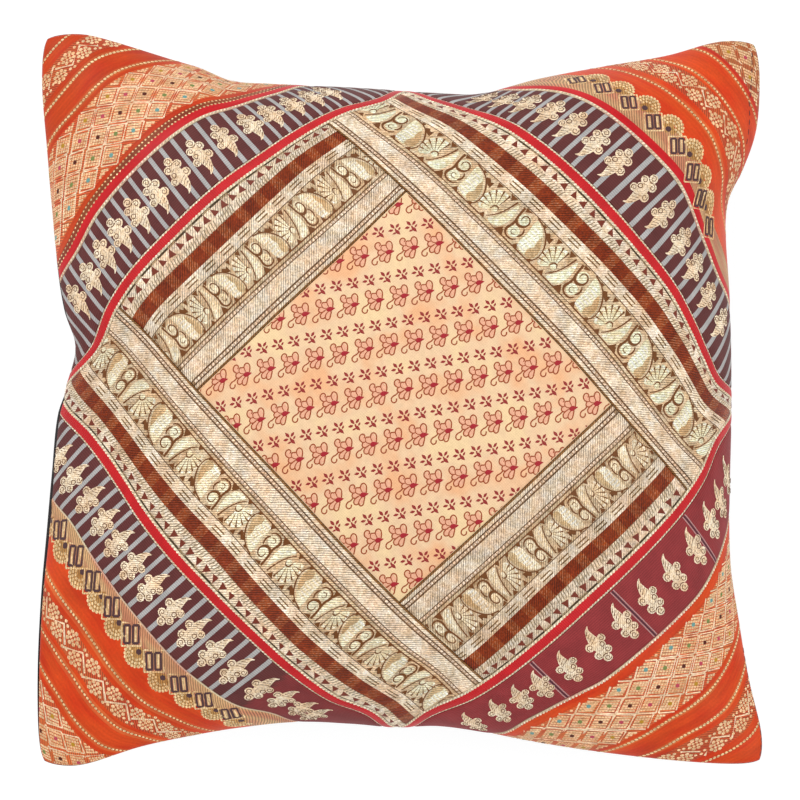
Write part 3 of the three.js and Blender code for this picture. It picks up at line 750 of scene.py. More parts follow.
class Finish:
    """A material in the making: its shader, and the place on the cloth in mm that its nodes read."""

    def __init__(self, name, roughness, sockets=()):
        self.material = bpy.data.materials.new(name)
        self.material.use_nodes = True
        self.shader = self.material.node_tree.nodes["Principled BSDF"]
        for key, value in {"Roughness": roughness, "Specular IOR Level": 0.2, **dict(sockets)}.items():
            self.shader.inputs[key].default_value = value
        self.place = self.node("ShaderNodeAttribute", gives="Vector", attribute_name="cloth_mm")

    def node(self, kind, feeds=(), stops=(), gives=0, **settings):
        """Adds a node with its settings and links, and hands back the output that gives names.

        feeds maps an input to a value or to the output that feeds it. stops are a ramp's places and
        linear colours.
        """
        made = self.material.node_tree.nodes.new(kind)
        for number, (place, colour) in enumerate(stops):
            elements = made.color_ramp.elements
            stop = elements[number] if number < 2 else elements.new(1)
            stop.position = place
            stop.color = colour
        for key, value in settings.items():
            setattr(made, key, value)
        for key, value in dict(feeds).items():
            if isinstance(value, bpy.types.NodeSocket):
                self.material.node_tree.links.new(value, made.inputs[key])
            else:
                made.inputs[key].default_value = value
        return made.outputs[gives]

    def parts(self):
        """The place's aside, across and third parts."""
        return self.node("ShaderNodeSeparateXYZ", {0: self.place}).node.outputs

    def drift(self, size_mm, span, values=(0.0, 1.0), detail=2.0):
        """A value that drifts in soft patches of a given size. span is the part of the noise it takes."""
        noise = self.node("ShaderNodeTexNoise", {"Vector": self.place, "Scale": 1 / size_mm,
                                                 "Detail": detail}, gives="Fac")
        return self.node("ShaderNodeMapRange", {"Value": noise, "From Min": span[0], "From Max": span[1],
                                                "To Min": values[0], "To Max": values[1]})

    def patchy(self, colour, size_mm, low, high):
        """A colour in soft darker and lighter patches of a given size."""
        level = self.drift(size_mm, (0.3, 0.7), (low, high), 3.0)
        return self.node("ShaderNodeMix", {0: 1.0, 6: colour, 7: level}, **MULTIPLIED)

    def two_tone(self, colour, size_mm, shares):
        """A colour that drifts towards another one, which is given as shares of its three parts."""
        level = self.drift(size_mm, (0.42, 0.62))
        return self.node("ShaderNodeMix", {0: level, 6: colour, 7: [*shares, 1]}, **MULTIPLIED)

    def threads(self, pitch, direction, distortion=0.8, slant=1):
        """Threads pitch mm apart, as ribs across X or Y or as floats that slant along a DIAGONAL."""
        place, bands, detail, scale = self.place, AXIS_BANDS, 2.0, 2.0
        if direction == "DIAGONAL":
            place = self.node("ShaderNodeVectorMath", {0: place, 1: (1, slant, 0)}, operation="MULTIPLY")
            bands, detail, scale = DIAGONAL_BANDS, 1.0, 1.2
        return self.node("ShaderNodeTexWave", {
            "Vector": place, "Scale": 1 / (pitch * bands), "Distortion": distortion, "Detail": detail,
            "Detail Scale": scale}, gives="Fac", bands_direction=direction)

    def weave(self, pitch, operation):
        """Threads both ways, joined by an operation."""
        both = {0: self.threads(pitch, "X"), 1: self.threads(pitch, "Y")}
        return self.node("ShaderNodeMath", both, operation=operation)

    def striped(self, across, width, rows):
        """Sharp-edged stripes of colour over a width, as rows of (mm across, colour)."""
        share = self.node("ShaderNodeMath", {0: across, 1: width}, operation="DIVIDE")
        stripes = self.node("ShaderNodeValToRGB", {0: share}, [(mm / width, colour) for mm, colour in rows])
        stripes.node.color_ramp.interpolation = "CONSTANT"
        return stripes

    def worked(self, value, steps):
        """A value worked through steps of an arithmetic operation and its other value."""
        for operation, other in steps:
            value = self.node("ShaderNodeMath", {0: value, 1: other}, operation=operation)
        return value

    def finished(self, colour, shade, levels, height, depth_mm, crisp=0.0):
        """The material, once its colour is shaded and its surface raised by values from 0 to 1.

        The shade goes between two levels, or is the level itself where there are none.
        """
        if levels:
            ends = {"From Min": crisp, "From Max": 1 - crisp, "To Min": levels[0], "To Max": levels[1]}
            shade = self.node("ShaderNodeMapRange", {"Value": shade, **ends})
        shaded = self.node("ShaderNodeMix", {0: 1.0, 6: colour, 7: shade}, **MULTIPLIED)
        relief = self.node("ShaderNodeBump", {"Height": height, "Distance": depth_mm * MM, "Strength": 1.0})
        for output, key in ((shaded, "Base Color"), (relief, "Normal")):
            self.material.node_tree.links.new(output, self.shader.inputs[key])
        return self.material


def black_cotton(colour):
    """Plain woven black cotton, unfinished: its matt threads show only as a faint even grain."""
    made = Finish("Black cotton, plain weave", 0.92, {"Sheen Weight": 0.04, "Specular IOR Level": 0.08})
    place = made.node("ShaderNodeTexCoord", gives="Object")
    made.place = made.node("ShaderNodeVectorMath", {0: place, 3: 1 / MM}, operation="SCALE")
    # Real threads are 0.4 mm apart, drawn at 0.9 mm so that they show
    grain = made.weave(0.9, "MULTIPLY")
    return made.finished(made.patchy(colour, 40, 0.8, 1.25), grain, (0.75, 1.15), grain, 0.12)


def peach_silk(colour):
    """Peach-gold satin silk: warp floats make it glow, and old dye drifts from pink to straw."""
    made = Finish("Peach silk, satin weave", 0.45)
    # Drifts of colour some 30 mm across, as old hand-dyed silk has
    drift = made.node("ShaderNodeTexNoise", {"Vector": made.place, "Scale": 1 / 30, "Detail": 3.0})
    pinker, paler = ([part * share for part, share in zip(colour, shares)] + [1]
                     for shares in ((1.02, 0.8, 0.68), (1.04, 1.1, 1.0)))
    dyed = made.node("ShaderNodeValToRGB", {0: drift}, ((0.36, pinker), (0.5, colour), (0.62, paler)))
    # Threads are 0.25 mm apart, drawn 1.1 mm apart so that the weave shows
    weave = made.worked(made.weave(1.1, "ADD"), [("MULTIPLY", 0.5)])
    return made.finished(made.patchy(dyed, 3, 0.95, 1.05), weave, (0.93, 1.04), weave, 0.06)


def silk_thread(name, colour):
    """Dyed silk thread of a woven figure: soft, with a fine twist that breaks its light."""
    made = Finish(name, 0.5)
    twist = made.node("ShaderNodeTexNoise", {"Vector": made.place, "Scale": 1.2, "Detail": 2.0})
    return made.finished(colour, twist, (0.65, 1.3), twist, 0.08)


def gilt_thread(name, colour, pitch=1.7, metallic=0.25, slant=1, low=0.62):
    """Flat gilt thread of a raised figure: slanting floats, with painted glints where they catch the light
    one by one.
    """
    made = Finish(name, 0.38, {"Metallic": metallic})
    floats = made.threads(pitch, "DIAGONAL", 0.9, slant)
    # Tan and brown patches, partly wear and partly painted shade; painted sheen and glints over them
    worn_and_glinting = made.two_tone(made.two_tone(colour, 17, (0.95, 0.84, 0.76)), 2.2, (0.84, 0.78, 0.68))
    worn_and_glinting = made.patchy(made.patchy(worn_and_glinting, 9, 0.88, 1.24), 0.9, 0.76, 1.3)
    return made.finished(worn_and_glinting, floats, (low, 1.15), floats, 0.22, 0.2)


# Stripes across a gold border: mm from its inner edge, its thread, and its thread opposite a block
# The first stripe, edge, is a painted shadow along the seam to the panel
GOLD_ZONES = (
    (0, "edge", "edge"), (0.8, "gilt", "gilt"), (2.7, "line", "line"), (3.3, "ground", "ground"),
    (4.9, "line", "line"), (5.5, "gilt", "gilt"), (13.9, "line", "line"), (14.5, "ground", "ground"),
    (16.2, "line", "line"), (16.8, "field", "field"), (38.3, "line", "line"), (38.9, "gilt", "gilt"),
    (41.1, "gilt", "dash"), (41.7, "gilt", "gilt"), (43.1, "gilt", "dash"), (43.7, "gilt", "gilt"),
    (45.2, "rust", "block"), (53.8, "gilt", "gilt"), (62.5, "grey", "dark"),
)
# The rust blocks' share of their pitch
BLOCK_SHARE = 0.57
# The cloths of a corner that are thick with gold thread
GILDED = ("ribs", "lattice", "brocade", "tip")


def gold_brocade(colours, repeat):
    """Border of flat gilt thread on brown silk, worn and crumpled, with painted glints and painted sheen
    and shade in patches.

    repeat places the blocks of its rust stripe along it, in mm, and says how bright the length is.
    """
    made = Finish("Gold brocade border", 0.42)
    aside, across, _ = made.parts()
    gilt = tone(colours.gilt, repeat["bright"])
    # The edge thread is dark brown painted seam shadow
    threads = {"gilt": gilt, "field": tone(linear("#dcc09a"), repeat["bright"]),
               "ground": linear("#a98a68"), "line": linear("#715236"), "dash": linear("#86673f"),
               "edge": linear("#8a6236"), "rust": linear("#9a4615"), "block": colours.rust,
               "grey": linear("#b59c78"), "dark": linear("#58462f")}
    plain, opposite = (
        made.striped(across, GOLD_WIDTH, [(row[0], threads[row[column]]) for row in GOLD_ZONES])
        for column in (1, 2))
    fleck = made.node("ShaderNodeTexNoise", {"Vector": made.place, "Scale": 0.8, "Detail": 2.0})
    # Floats of gilt thread slant 1.4 mm apart, drawn 1.7 mm apart so that they show
    floats = made.threads(1.7, "DIAGONAL", 1.6)
    flecks = made.node("ShaderNodeMapRange", {"Value": made.worked(fleck, [("MULTIPLY", floats)]),
                                              "From Min": 0.36, "From Max": 0.58, "To Max": 0.26})
    flecked = made.node("ShaderNodeMix", {0: flecks, 6: plain, 7: tone(gilt, 0.7)}, **BLENDED)
    first = 0.5 + repeat["block"] - repeat["pitch"] * BLOCK_SHARE / 2
    block = made.worked(aside, [("ADD", fleck), ("SUBTRACT", first), ("DIVIDE", repeat["pitch"]),
                                ("FRACT", 0.0), ("LESS_THAN", BLOCK_SHARE)])
    zones = made.node("ShaderNodeMix", {0: block, 6: flecked, 7: opposite}, **BLENDED)
    # Patches 11 mm across, silver to tan, and single threads: partly wear, partly painted sheen and shade
    light = made.node("ShaderNodeRGBToBW", {0: zones})
    gilded = made.node("ShaderNodeMapRange", {"Value": light, "From Min": 0.2, "From Max": 0.5})
    tan = made.two_tone(zones, 13, (0.98, 0.86, 0.78))
    # Painted highlights in silver, in patches 8 mm across and on single threads
    painted_highlights = made.two_tone(made.two_tone(tan, 8, (1.06, 1.1, 1.18)), 1.3, (1.06, 1.13, 1.25))
    worn_and_glinting = made.node("ShaderNodeMix", {0: gilded, 6: tan, 7: painted_highlights}, **BLENDED)
    # Darker threads, partly wear and partly painted shade, and 11 mm patches of painted sheen
    worn_and_glinting = made.patchy(made.two_tone(worn_and_glinting, 2.6, (0.82, 0.76, 0.66)), 11, 0.84, 1.24)
    clear = made.drift(9, (0.4, 0.6), (0.3, 0.95))
    lines = made.node("ShaderNodeMix", {0: clear, 2: 0.75, 3: floats})
    metal = made.worked(gilded, [("MULTIPLY", 0.25)])
    made.material.node_tree.links.new(metal, made.shader.inputs["Metallic"])
    # Painted glints and shade, thread by thread, some 1.1 mm across
    return made.finished(made.patchy(worn_and_glinting, 1.1, 0.68, 1.36), lines, (0.52, 1.18),
                         made.worked(floats, [("ADD", fleck)]), 0.3, 0.2)


def wine_silk(colours):
    """Wine silk in a plain weave, crossed by woven stripes of grey silk that stand a little proud."""
    made = Finish("Wine silk with grey stripes", 0.6)
    stripes = made.node("ShaderNodeAttribute", gives="Vector", attribute_name="stripes")
    count, wide, redder = made.node("ShaderNodeSeparateXYZ", {0: stripes}).node.outputs
    inside = made.worked(count, [("FRACT", 0.0), ("PINGPONG", 0.5), ("LESS_THAN", wide)])
    ground = made.node("ShaderNodeMix", {0: redder, 6: colours.wine, 7: colours.red_wine}, **BLENDED)
    striped = made.node("ShaderNodeMix", {0: inside, 6: ground, 7: colours.stripe}, **BLENDED)
    # Ribs of the weft are 0.4 mm apart, drawn 1.2 mm apart so that they show
    ribs = made.threads(1.2, "Y")
    return made.finished(made.patchy(striped, 12, 0.86, 1.14), ribs, (0.84, 1.1),
                         made.worked(inside, [("ADD", ribs)]), 0.12)


def red_ribbon(colour):
    """Red satin ribbon: close ribs across it shine softly along the folds."""
    made = Finish("Red rayon ribbon, ribbed satin", 0.45)
    pale = linear("#dccbaa")
    edged = made.striped(made.parts()[1], RIBBON_WIDTH, [(0, pale), (1, colour), (6.1, pale)])
    ribs = made.threads(1.2, "X")
    return made.finished(made.patchy(edged, 10, 0.86, 1.14), ribs, (0.92, 1.04), ribs, 0.1)


def orange_silk(colours, rows, share):
    """Orange silk border: plain shining stripes between stripes thick with cream and gold thread.

    rows give where each stripe starts, in mm out from the middle, and its cloth. share makes the plain
    silk darker or lighter.
    """
    made = Finish("Orange silk border", 0.45)
    cloths = {"plain": tone(colours.orange, share), "bright": tone(linear("#dd6a33"), share),
              "red": linear("#cf3a24"), "ribbon": colours.ribbon, "brown": linear("#8c4526"),
              "scallop": linear("#d8c6a4"), "ribs": linear("#c49a6e"), "brocade": linear("#bf5a30"),
              "lattice": linear("#cf6a38"), "tip": linear("#b4683c")}
    first = rows[0][0]
    span = CORNER_TIP - first
    out = made.worked(made.parts()[1], [("SUBTRACT", float(first))])
    zones = made.striped(out, span, [(start - first, cloths[cloth]) for start, cloth in rows])
    gilded = made.striped(out, span, [(start - first, [float(cloth in GILDED)] * 3 + [1])
                                      for start, cloth in rows])
    # Gold floats are 1.3 mm apart, drawn 1.8 mm apart so that they show
    rough = made.node("ShaderNodeMapRange", {"Value": made.threads(1.8, "DIAGONAL", 0.9, -1),
                      "From Min": 0.2, "From Max": 0.8, "To Min": 0.66, "To Max": 1.34})
    # Fine lines of the plain silk run along it 2.3 mm apart
    smooth = made.node("ShaderNodeMapRange", {"Value": made.threads(2.3, "Y", 1.6),
                       "To Min": 0.96, "To Max": 1.03})
    weave = made.node("ShaderNodeMix", {0: gilded, 2: smooth, 3: rough})
    # Its colour drifts along the weft, between orange and red, and in lighter and darker streaks
    cloth_place = made.place
    made.place = made.node("ShaderNodeVectorMath", {0: cloth_place, 1: (0.25, 1, 0)}, operation="MULTIPLY")
    dyed = made.patchy(made.two_tone(zones, 9, (0.92, 0.62, 0.7)), 7, 0.88, 1.14)
    made.place = cloth_place
    return made.finished(made.patchy(dyed, 1.3, 0.92, 1.08), weave, None, weave, 0.12)


def light_table():
    """White acrylic lit from beneath, as a studio uses to show goods without a shadow."""
    return Finish("White acrylic light table", 0.9, {
        "Base Color": linear("#8a8a8a"), "Emission Color": linear("#ffffff"),
        "Emission Strength": 0.86}).material


class CUSHION_OT_body(bpy.types.Operator):
    """Makes the filled form with its plain dark back."""

    bl_idname = "cushion.body"
    bl_label = "Filled body"

    def execute(self, context):
        cover = the_cover(context)
        # Its cells are closer together near the seam
        u, v = (0.4 * places + 0.6 * np.sin(places * np.pi / 2) for places in square_grid(BODY_CELLS))
        inside, used, quads = two_faces(u, v)
        front = cover.on_front(u * cover.half, v * cover.half, np.where(inside, -BODY_SINK, 0))
        back = cover.form(u, v, False) * MM
        points = np.concatenate([front.reshape(-1, 3), back.reshape(-1, 3)])
        body = mesh_object("cover_body", points[used], quads,
                           [black_cotton(context.scene.cushion_colours.back)])
        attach(body, "root")
        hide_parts("filled_cover")
        return {"FINISHED"}


def along_cut(cut, across, pitch):
    """Places one pitch apart along a piece, at a place across it."""
    right, left = cut.ends(np.array([float(across)]))
    return [(aside, across) for aside in np.arange(right[0] + 1, left[0] - 1, pitch)]


def sew_on(piece, node=None):
    """Declares a sewn-on piece, which rides on the cover and may stand for a solid."""
    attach(piece, "root")
    if node:
        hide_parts(node)


# The centre panel's repeat on the flat cloth, in mm: the step along a row of flowers, the step to the
# next row, a flower's heart, and the step between the sprigs of the row between
FLOWER_STEP = (12.75, 3.05)
ROW_STEP = (-4.7, -26)
FIRST_HEART = (3.9, 1.3)
FIRST_SPRIG = (1.4, -12.5)
SPRIG_STEP = (8.4, 2.0)
# How the repeat is turned in the panel, and how far over its edges figures may begin, in mm
PANEL_TURN = 45
PANEL_ROOM = 9


def panel_flower():
    """An outlined flower with a curl to each side, its heart at the origin, and its petals' fill."""
    flower = Figure()
    for path in (
            [(-0.9, 1.1), (-1.6, 2.4), (-1.9, 3.6), (-1.4, 5), (-0.3, 5.6), (0.9, 4.8), (1.3, 3),
             (1.1, 0.9)],
            [(-1.9, 3.4), (-3, 3.2), (-4, 3.1), (-4.5, 2.2), (-4.3, 0.9), (-3.5, 0.2), (-2.6, 0),
             (-1.5, 0)],
            [(-5.3, 2.6), (-4.9, 3.3), (-5, 4.1), (-5.9, 4.6), (-7, 4.1), (-7.6, 2.9), (-7.4, 1.6),
             (-6.6, 0.8), (-5.6, 0.4), (-4.5, 0.7)],
            [(-5.6, 0.4), (-6, -0.4), (-6.1, -1.3), (-5.4, -2.1), (-4.2, -2), (-2.8, -1), (-1.5, -0.3)],
            [(-2.8, -1.2), (-4.2, -2.3), (-5.1, -3.5), (-5, -4.8), (-4.2, -5.4), (-3, -5.1), (-2.4, -4.2)],
            [(-0.8, -1.2), (-1.9, -2.5), (-2.5, -3.8), (-2.4, -5.2), (-1.5, -5.9), (-0.4, -5.3),
             (0.1, -3.7), (0.5, -1.2)],
            [(-5.7, -2.3), (-6.8, -3.5), (-8.1, -4.3), (-9, -5.6), (-8.8, -7), (-7.6, -7.6), (-6.5, -6.8),
             (-6.3, -5.4)]):
        flower.stroke(path, 0.68)
    heart = [(-2, -0.9), (-1.5, 0.6), (-0.2, 1.1), (1.1, 0.8), (2.5, 0.6), (1.5, -0.3), (0.4, -1.2),
             (-0.8, -1.6)]
    petals = [(1.2, 0.8), (1.3, 3), (-0.3, 5.6), (-1.9, 3.9), (-3, 3.3), (-4.6, 3.2), (-5.9, 4.6),
              (-7.4, 3), (-7.3, 1.6), (-5.8, 0.4), (-6.1, -1.3), (-5.2, -2.2), (-4.7, -2.8), (-5.1, -4),
              (-4.4, -5.3), (-2.6, -4.6), (-1.6, -5.8), (0, -4.2), (0.6, -1.2)]
    return flower, Figure().patch(heart), Figure().patch(petals, smooth=False)


def panel_sprig():
    """Six small leaves thrown out from a point."""
    sprig = Figure()
    for start, end, width in (
            ((-0.2, 0.4), (-2.4, 2.6), 1.7), ((0.7, 0.8), (2.2, 3.1), 1.4), ((2, -0.4), (2.9, 1.3), 1),
            ((0.2, -0.4), (2.9, -2.8), 1.9), ((-0.8, -0.6), (-3.3, -1.4), 1.4),
            ((0.8, -1.9), (-1.1, -2.9), 1)):
        middle = ((start[0] + end[0]) / 2, (start[1] + end[1]) / 2)
        sprig.stroke([(*start, 0.5), (*middle, width), (*end, 0.2)])
    return sprig.dot(0.4, -0.1, 0.5, sides=6)


def panel_places(origin, step, row_step, rows, cut):
    """Places of a slanted repeat over the whole panel, given on the flat cloth."""
    spin = math.radians(PANEL_TURN)
    places = []
    for row in rows:
        for number in range(-14, 15):
            x = origin[0] + row * row_step[0] + number * step[0]
            y = origin[1] + row * row_step[1] + number * step[1]
            aside = y * math.cos(spin) - x * math.sin(spin)
            across = cut.across(np.array(aside), x * math.cos(spin) + y * math.sin(spin))
            places.append((aside, across, PANEL_TURN))
    right, left = cut.ends(np.zeros(1))
    return [place for place in places if right[0] - PANEL_ROOM < place[0] < left[0] + PANEL_ROOM
            and -PANEL_ROOM < place[1] < cut.width + PANEL_ROOM]


class CUSHION_OT_centre_panel(bpy.types.Operator):
    """Makes the square of peach silk with its woven flowers and sprigs."""

    bl_idname = "cushion.centre_panel"
    bl_label = "Centre panel"

    def execute(self, context):
        cut = Cut(the_cover(context), "panel")
        colours = context.scene.cushion_colours
        panel = cloth_slab("panel_cloth", cut, peach_silk(colours.silk))
        flower, heart, petals = panel_flower()
        hearts = panel_places(FIRST_HEART, FLOWER_STEP, ROW_STEP, range(-4, 5), cut)
        sprigs = panel_places(FIRST_SPRIG, SPRIG_STEP, ROW_STEP, range(-5, 5), cut)
        madder, crimson, maroon, pink = (silk_thread(name, colour) for name, colour in (
            ("Madder silk thread", colours.flower), ("Crimson silk thread", linear("#ab2630")),
            ("Maroon silk thread", linear("#9a3430")), ("Pink silk thread", linear("#f0b392"))))
        sewing = Sewing(cut).lay(petals, hearts, pink, 0.09).lay(flower, hearts, madder, 0.16)
        sewing.lay(heart, hearts, crimson, 0.26).lay(panel_sprig(), sprigs, maroon, 0.14)
        woven = sewing.mesh("panel_flowers")
        sew_on(panel, "centre_panel")
        sew_on(woven)
        return {"FINISHED"}


# Along each gold border, in mm aside: the scroll that starts each woven repeat, from left to right,
# the pitch of the rust blocks with the place of one, how bright that length of border is, and how far
# the rust stripe wanders, as rows of (aside, mm outwards)
GOLD_REPEATS = (
    {"scrolls": (149, 108, 65, 22, -20.5, -62.5, -102, -143), "pitch": 13.9, "block": 9.5, "bright": 1.12,
     "wander": ((-118, 1.8), (-92, 2.2), (-70, 1.3), (-48, 0.9), (-25, 0.8), (0, 0.3), (30, 0.1),
                (60, 0.1), (80, 1.1), (95, 2))},
    {"scrolls": (98, 66, 34.4, 3.5, -29, -60, -91), "pitch": 12.9, "block": 2, "bright": 0.97,
     "wander": ((-70, 1.3), (-45, 2), (-25, 0.5), (-5, -0.7), (15, -1.2), (40, -1), (65, 0))},
    {"scrolls": (138, 108.6, 79, 48.6, 10, -29, -67.7, -109.5, -148), "pitch": 12.8, "block": 10.7,
     "bright": 1.03,
     "wander": ((-110, 0.4), (-85, 1), (-70, 1.1), (-45, 0.2), (-10, -1.1), (15, 0), (35, 0.7), (60, 1.2),
                (80, 0.5), (95, 0.2), (112, 1.6))},
    {"scrolls": (88, 56, 26.2, -5.5, -39, -72, -104), "pitch": 13.1, "block": 2, "bright": 0.95,
     "wander": ((-85, 2), (-60, 1.3), (-25, -0.3), (5, -1), (30, -0.9), (60, -1.3))},
)
# Across the border, in mm: the foot of its motifs, its rows of pearls and its teeth
MOTIF_BASE = 18.2
PEARL_ROWS = (4.1, 15.35)
TEETH_BASE = 58.7
# Along it, in mm: the length that the motifs are charted at, and the pearls' pitch
CHARTED_REPEAT = 42.5
PEARL_PITCH = 2.05
SHELL_HEART = (27.6, 7.8)
GOLD_RELIEFS = {"pale": 0.22, "tan": 0.25, "brown": 0.27, "white": 0.28}


def gold_figures():
    """One repeat of the gold border, x from its scroll and y from the foot of the woven zone."""
    pale, brown, tan, white = Figure(), Figure(), Figure(), Figure()
    # Two stacked discs with a curl in each, and the dark stem that holds them
    for y, radius in ((14.6, 3.3), (6.4, 3.1)):
        pale.dot(0.2, y, radius, sides=14)
    brown.stroke([(-1.2, 13.2, 0.5), (-1.5, 15, 0.7), (-0.4, 16.6, 0.8), (1.6, 16.6, 0.9), (3, 15, 0.9),
                  (3, 13, 0.9), (2, 11.4, 1.2), (0, 10.4, 1.5), (-1.8, 10.6, 1.3), (-3, 12, 0.9)])
    brown.stroke([(0.8, 7.6, 0.4), (-0.6, 7.4, 0.5), (-1.1, 6, 0.6), (0, 4.9, 0.7), (1.8, 5.4, 0.6)])
    brown.stroke([(-4.2, 19.3, 1.4), (-4, 16, 1.2), (-3.6, 13, 1.2), (-3, 10.6, 1.3), (-3.1, 8, 1.3),
                  (-3.7, 5.6, 1.5), (-3.3, 3.8, 1.2), (-1.8, 2.5, 1), (0.4, 2.2, 0.9), (2.6, 2.8, 0.8),
                  (4, 4.4, 0.5)])
    brown.stroke([(3.2, 11, 0.5), (4.2, 9.4, 0.9), (4.2, 7.2, 0.9), (3.2, 5.6, 0.6)])
    # The sail, tan where it is worn, under its long brown arch
    pale.patch([(5, 18.9), (9.3, 17.7), (12.4, 15.4), (15.2, 12.2), (17, 9), (17.6, 5.8), (17, 2.8),
                (13, 1.6), (8, 1.9), (5.8, 4.6), (6, 9), (5.4, 13)])
    tan.patch([(12.8, 14.6), (15.4, 11.6), (17, 8.4), (17.4, 5), (16.4, 2.2), (12.6, 1.9), (11.8, 5),
               (13.4, 8), (12.4, 11)], level=1.5)
    # White floats across the sail: pale thread, and also painted highlights
    for y, end in ((2.8, 11.4), (4.8, 11.6), (6.8, 12.4), (8.8, 12.8), (10.8, 12.4), (12.8, 12),
                   (14.8, 10.6)):
        white.stroke([(6.4, y, 0.8), (8.6, y + 0.3, 1.25), (end - 0.8, y + 0.1, 1.1), (end, y - 0.2, 0.5)],
                     level=1.4)
    brown.stroke([(4.4, 20, 0.8), (9, 19, 0.7), (13, 16.8, 0.7), (16, 13.6, 0.9), (18, 10, 0.7),
                  (18.7, 6.6, 0.6), (18.2, 3.6, 0.6), (17, 1.6, 0.8)])
    brown.patch([(8.4, 20), (11, 20), (10.6, 18.4)], smooth=False)
    brown.patch([(12.6, 17.6), (15.6, 15), (17.8, 14.4), (17.8, 18), (16.4, 17), (14.4, 18.8)],
                smooth=False)
    # The shell flower, its petals thrown out from low on its right, and its leaf
    for angle, length in ((204, 8.4), (182, 9), (160, 9.6), (138, 10.4), (117, 11), (96, 10.6)):
        along, between = math.radians(angle), math.radians(angle - 11)
        pale.stroke([(*around(*SHELL_HEART, along, reach), width) for reach, width in (
            (2.4, 1), (0.5 * length, 2.6), (0.84 * length, 3.7), (length, 2))])
        brown.stroke([(*around(*SHELL_HEART, between, reach), width) for reach, width in (
            (3.2, 0.3), (0.6 * length, 0.45), (length, 1.1))])
        tan.stroke([(*around(*SHELL_HEART, along + turn, reach * length), 0.4) for turn, reach in (
            (0.16, 0.74), (0, 0.86), (-0.16, 0.74))], level=1.35)
        # A white pearl near each petal's tip: pale thread, and also a painted highlight
        white.dot(*around(*SHELL_HEART, along, 0.9 * length), 1.1, sides=8)
    pale.dot(*SHELL_HEART, 1.7)
    brown.stroke([(25.8, 7, 0.4), (26.4, 9.2, 0.7), (28.2, 9.8, 0.7), (29.4, 8.4, 0.4)])
    pale.patch([(28.4, 1.6), (31.6, 1.1), (35, 2.6), (36.6, 5.5), (37.2, 9.4), (36.8, 14), (35.6, 17.8),
                (34.6, 17), (33.8, 13), (31.6, 7.8), (29.4, 4)])
    brown.stroke([(27, 2.4, 0.5), (29.2, 5.2, 0.6), (31.2, 9, 0.6), (32.6, 13.6, 0.7), (33.6, 18.8, 1)])
    for outline in (((19.2, 20), (22.8, 20), (20.4, 17)), ((28, 20), (32.6, 20), (30.4, 17)),
                    ((23, 0.4), (27, 0.4), (25.2, 3)), ((34.4, 0.4), (38.8, 0.4), (37.2, 4.6)),
                    ((14.4, 0.4), (17.8, 0.4), (16.6, 2.6)), ((4.2, 0.4), (8, 0.4), (6, 3.4)),
                    ((-2.6, 0.4), (-6, 0.4), (-4.6, 3.6)), ((-3.6, 20), (0.8, 20), (-2.6, 17.8))):
        brown.patch(outline, smooth=False)
    brown.stroke([(-4.6, 0.5, 0.8), (9, 0.5, 0.8), (22, 0.5, 0.8), (38, 0.5, 0.8)], smooth=False, level=0.9)
    # White floats on the leaf: pale thread, and also painted highlights
    for x, y in ((29.8, 2.6), (32.4, 4.2), (34.2, 7.4), (35.2, 11), (35.2, 14.6)):
        white.stroke([(x - 0.8, y - 0.9, 0.5), (x + 0.9, y + 0.9, 1)], smooth=False, level=1.4)
    return {"pale": pale, "tan": tan, "brown": brown, "white": white}


def toothed_edge():
    """Two brown teeth of the outer gold stripe opposite a rust block, and the hatching under them."""
    teeth, hatch = Figure(), Figure()
    teeth.patch([(-4.4, -0.4), (-0.9, 0.2), (-3.9, 3.8)], smooth=False)
    teeth.patch([(0.5, 0.2), (4.5, -0.6), (3.7, 3.9)], smooth=False)
    for x in (-4.2, -2.6, -1, 0.6, 2.2, 3.8):
        hatch.stroke([(x, -4.9, 0.5), (x + 1.3, -1, 0.4)], smooth=False)
    return teeth, hatch


class CUSHION_OT_gold_bands(bpy.types.Operator):
    """Makes the four lengths of gold border round the panel."""

    bl_idname = "cushion.gold_bands"
    bl_label = "Gold bands"

    def execute(self, context):
        cover = the_cover(context)
        colours = context.scene.cushion_colours
        motifs = gold_figures()
        teeth, hatch = toothed_edge()
        pearl = Figure().patch([(-0.8, -0.65), (0.8, -0.65), (0.8, 0.65), (-0.8, 0.65)], smooth=False)
        for quarter, (sewn, repeat) in enumerate(zip(QUARTERS, GOLD_REPEATS)):
            cut = Cut(cover, "gold", quarter, repeat["wander"])
            bright = repeat["bright"]
            # White gilt thread is pale, and its figures also stand for painted highlights
            threads = {"pale": gilt_thread("Pale gilt thread", tone(colours.gilt, 1.26 * bright)),
                       "brown": silk_thread("Brown silk thread", colours.brown),
                       "pink": gilt_thread("Pink gilt thread", linear("#f0d8c2"), 2.6),
                       "tan": gilt_thread("Worn tan thread", linear("#d9bb90")),
                       "maroon": silk_thread("Maroon silk thread", linear("#7a3626")),
                       "grey": silk_thread("Grey silk thread", linear("#8f7a5c")),
                       "white": gilt_thread("White gilt thread", tone(linear("#fff9ec"), bright), 1.3,
                                            low=0.78)}
            band = cloth_slab(f"gold_cloth_{sewn['name']}", cut, gold_brocade(colours, repeat))
            places = [(here, MOTIF_BASE, 0, (here - after) / CHARTED_REPEAT, 1)
                      for here, after in zip(repeat["scrolls"], repeat["scrolls"][1:])]
            sewing = Sewing(cut)
            for thread, motif in motifs.items():
                sewing.lay(motif, places, threads[thread], GOLD_RELIEFS[thread])
            edge = [(aside, TEETH_BASE, 0, 1.12, 1.08)
                    for aside in np.arange(-12, 13) * repeat["pitch"] + repeat["block"]]
            sewing.lay(teeth, edge, threads["maroon"], 0.16).lay(hatch, edge, threads["grey"], 0.14)
            along = along_cut(cut, PEARL_ROWS[0], PEARL_PITCH)
            for across in PEARL_ROWS:
                sewing.lay(pearl, [(aside, across) for aside, _ in along], threads["pink"], 0.2)
            figures = sewing.mesh(f"gold_figures_{sewn['name']}")
            sew_on(band, f"gold_band_{sewn['name']}")
            sew_on(figures)
        return {"FINISHED"}


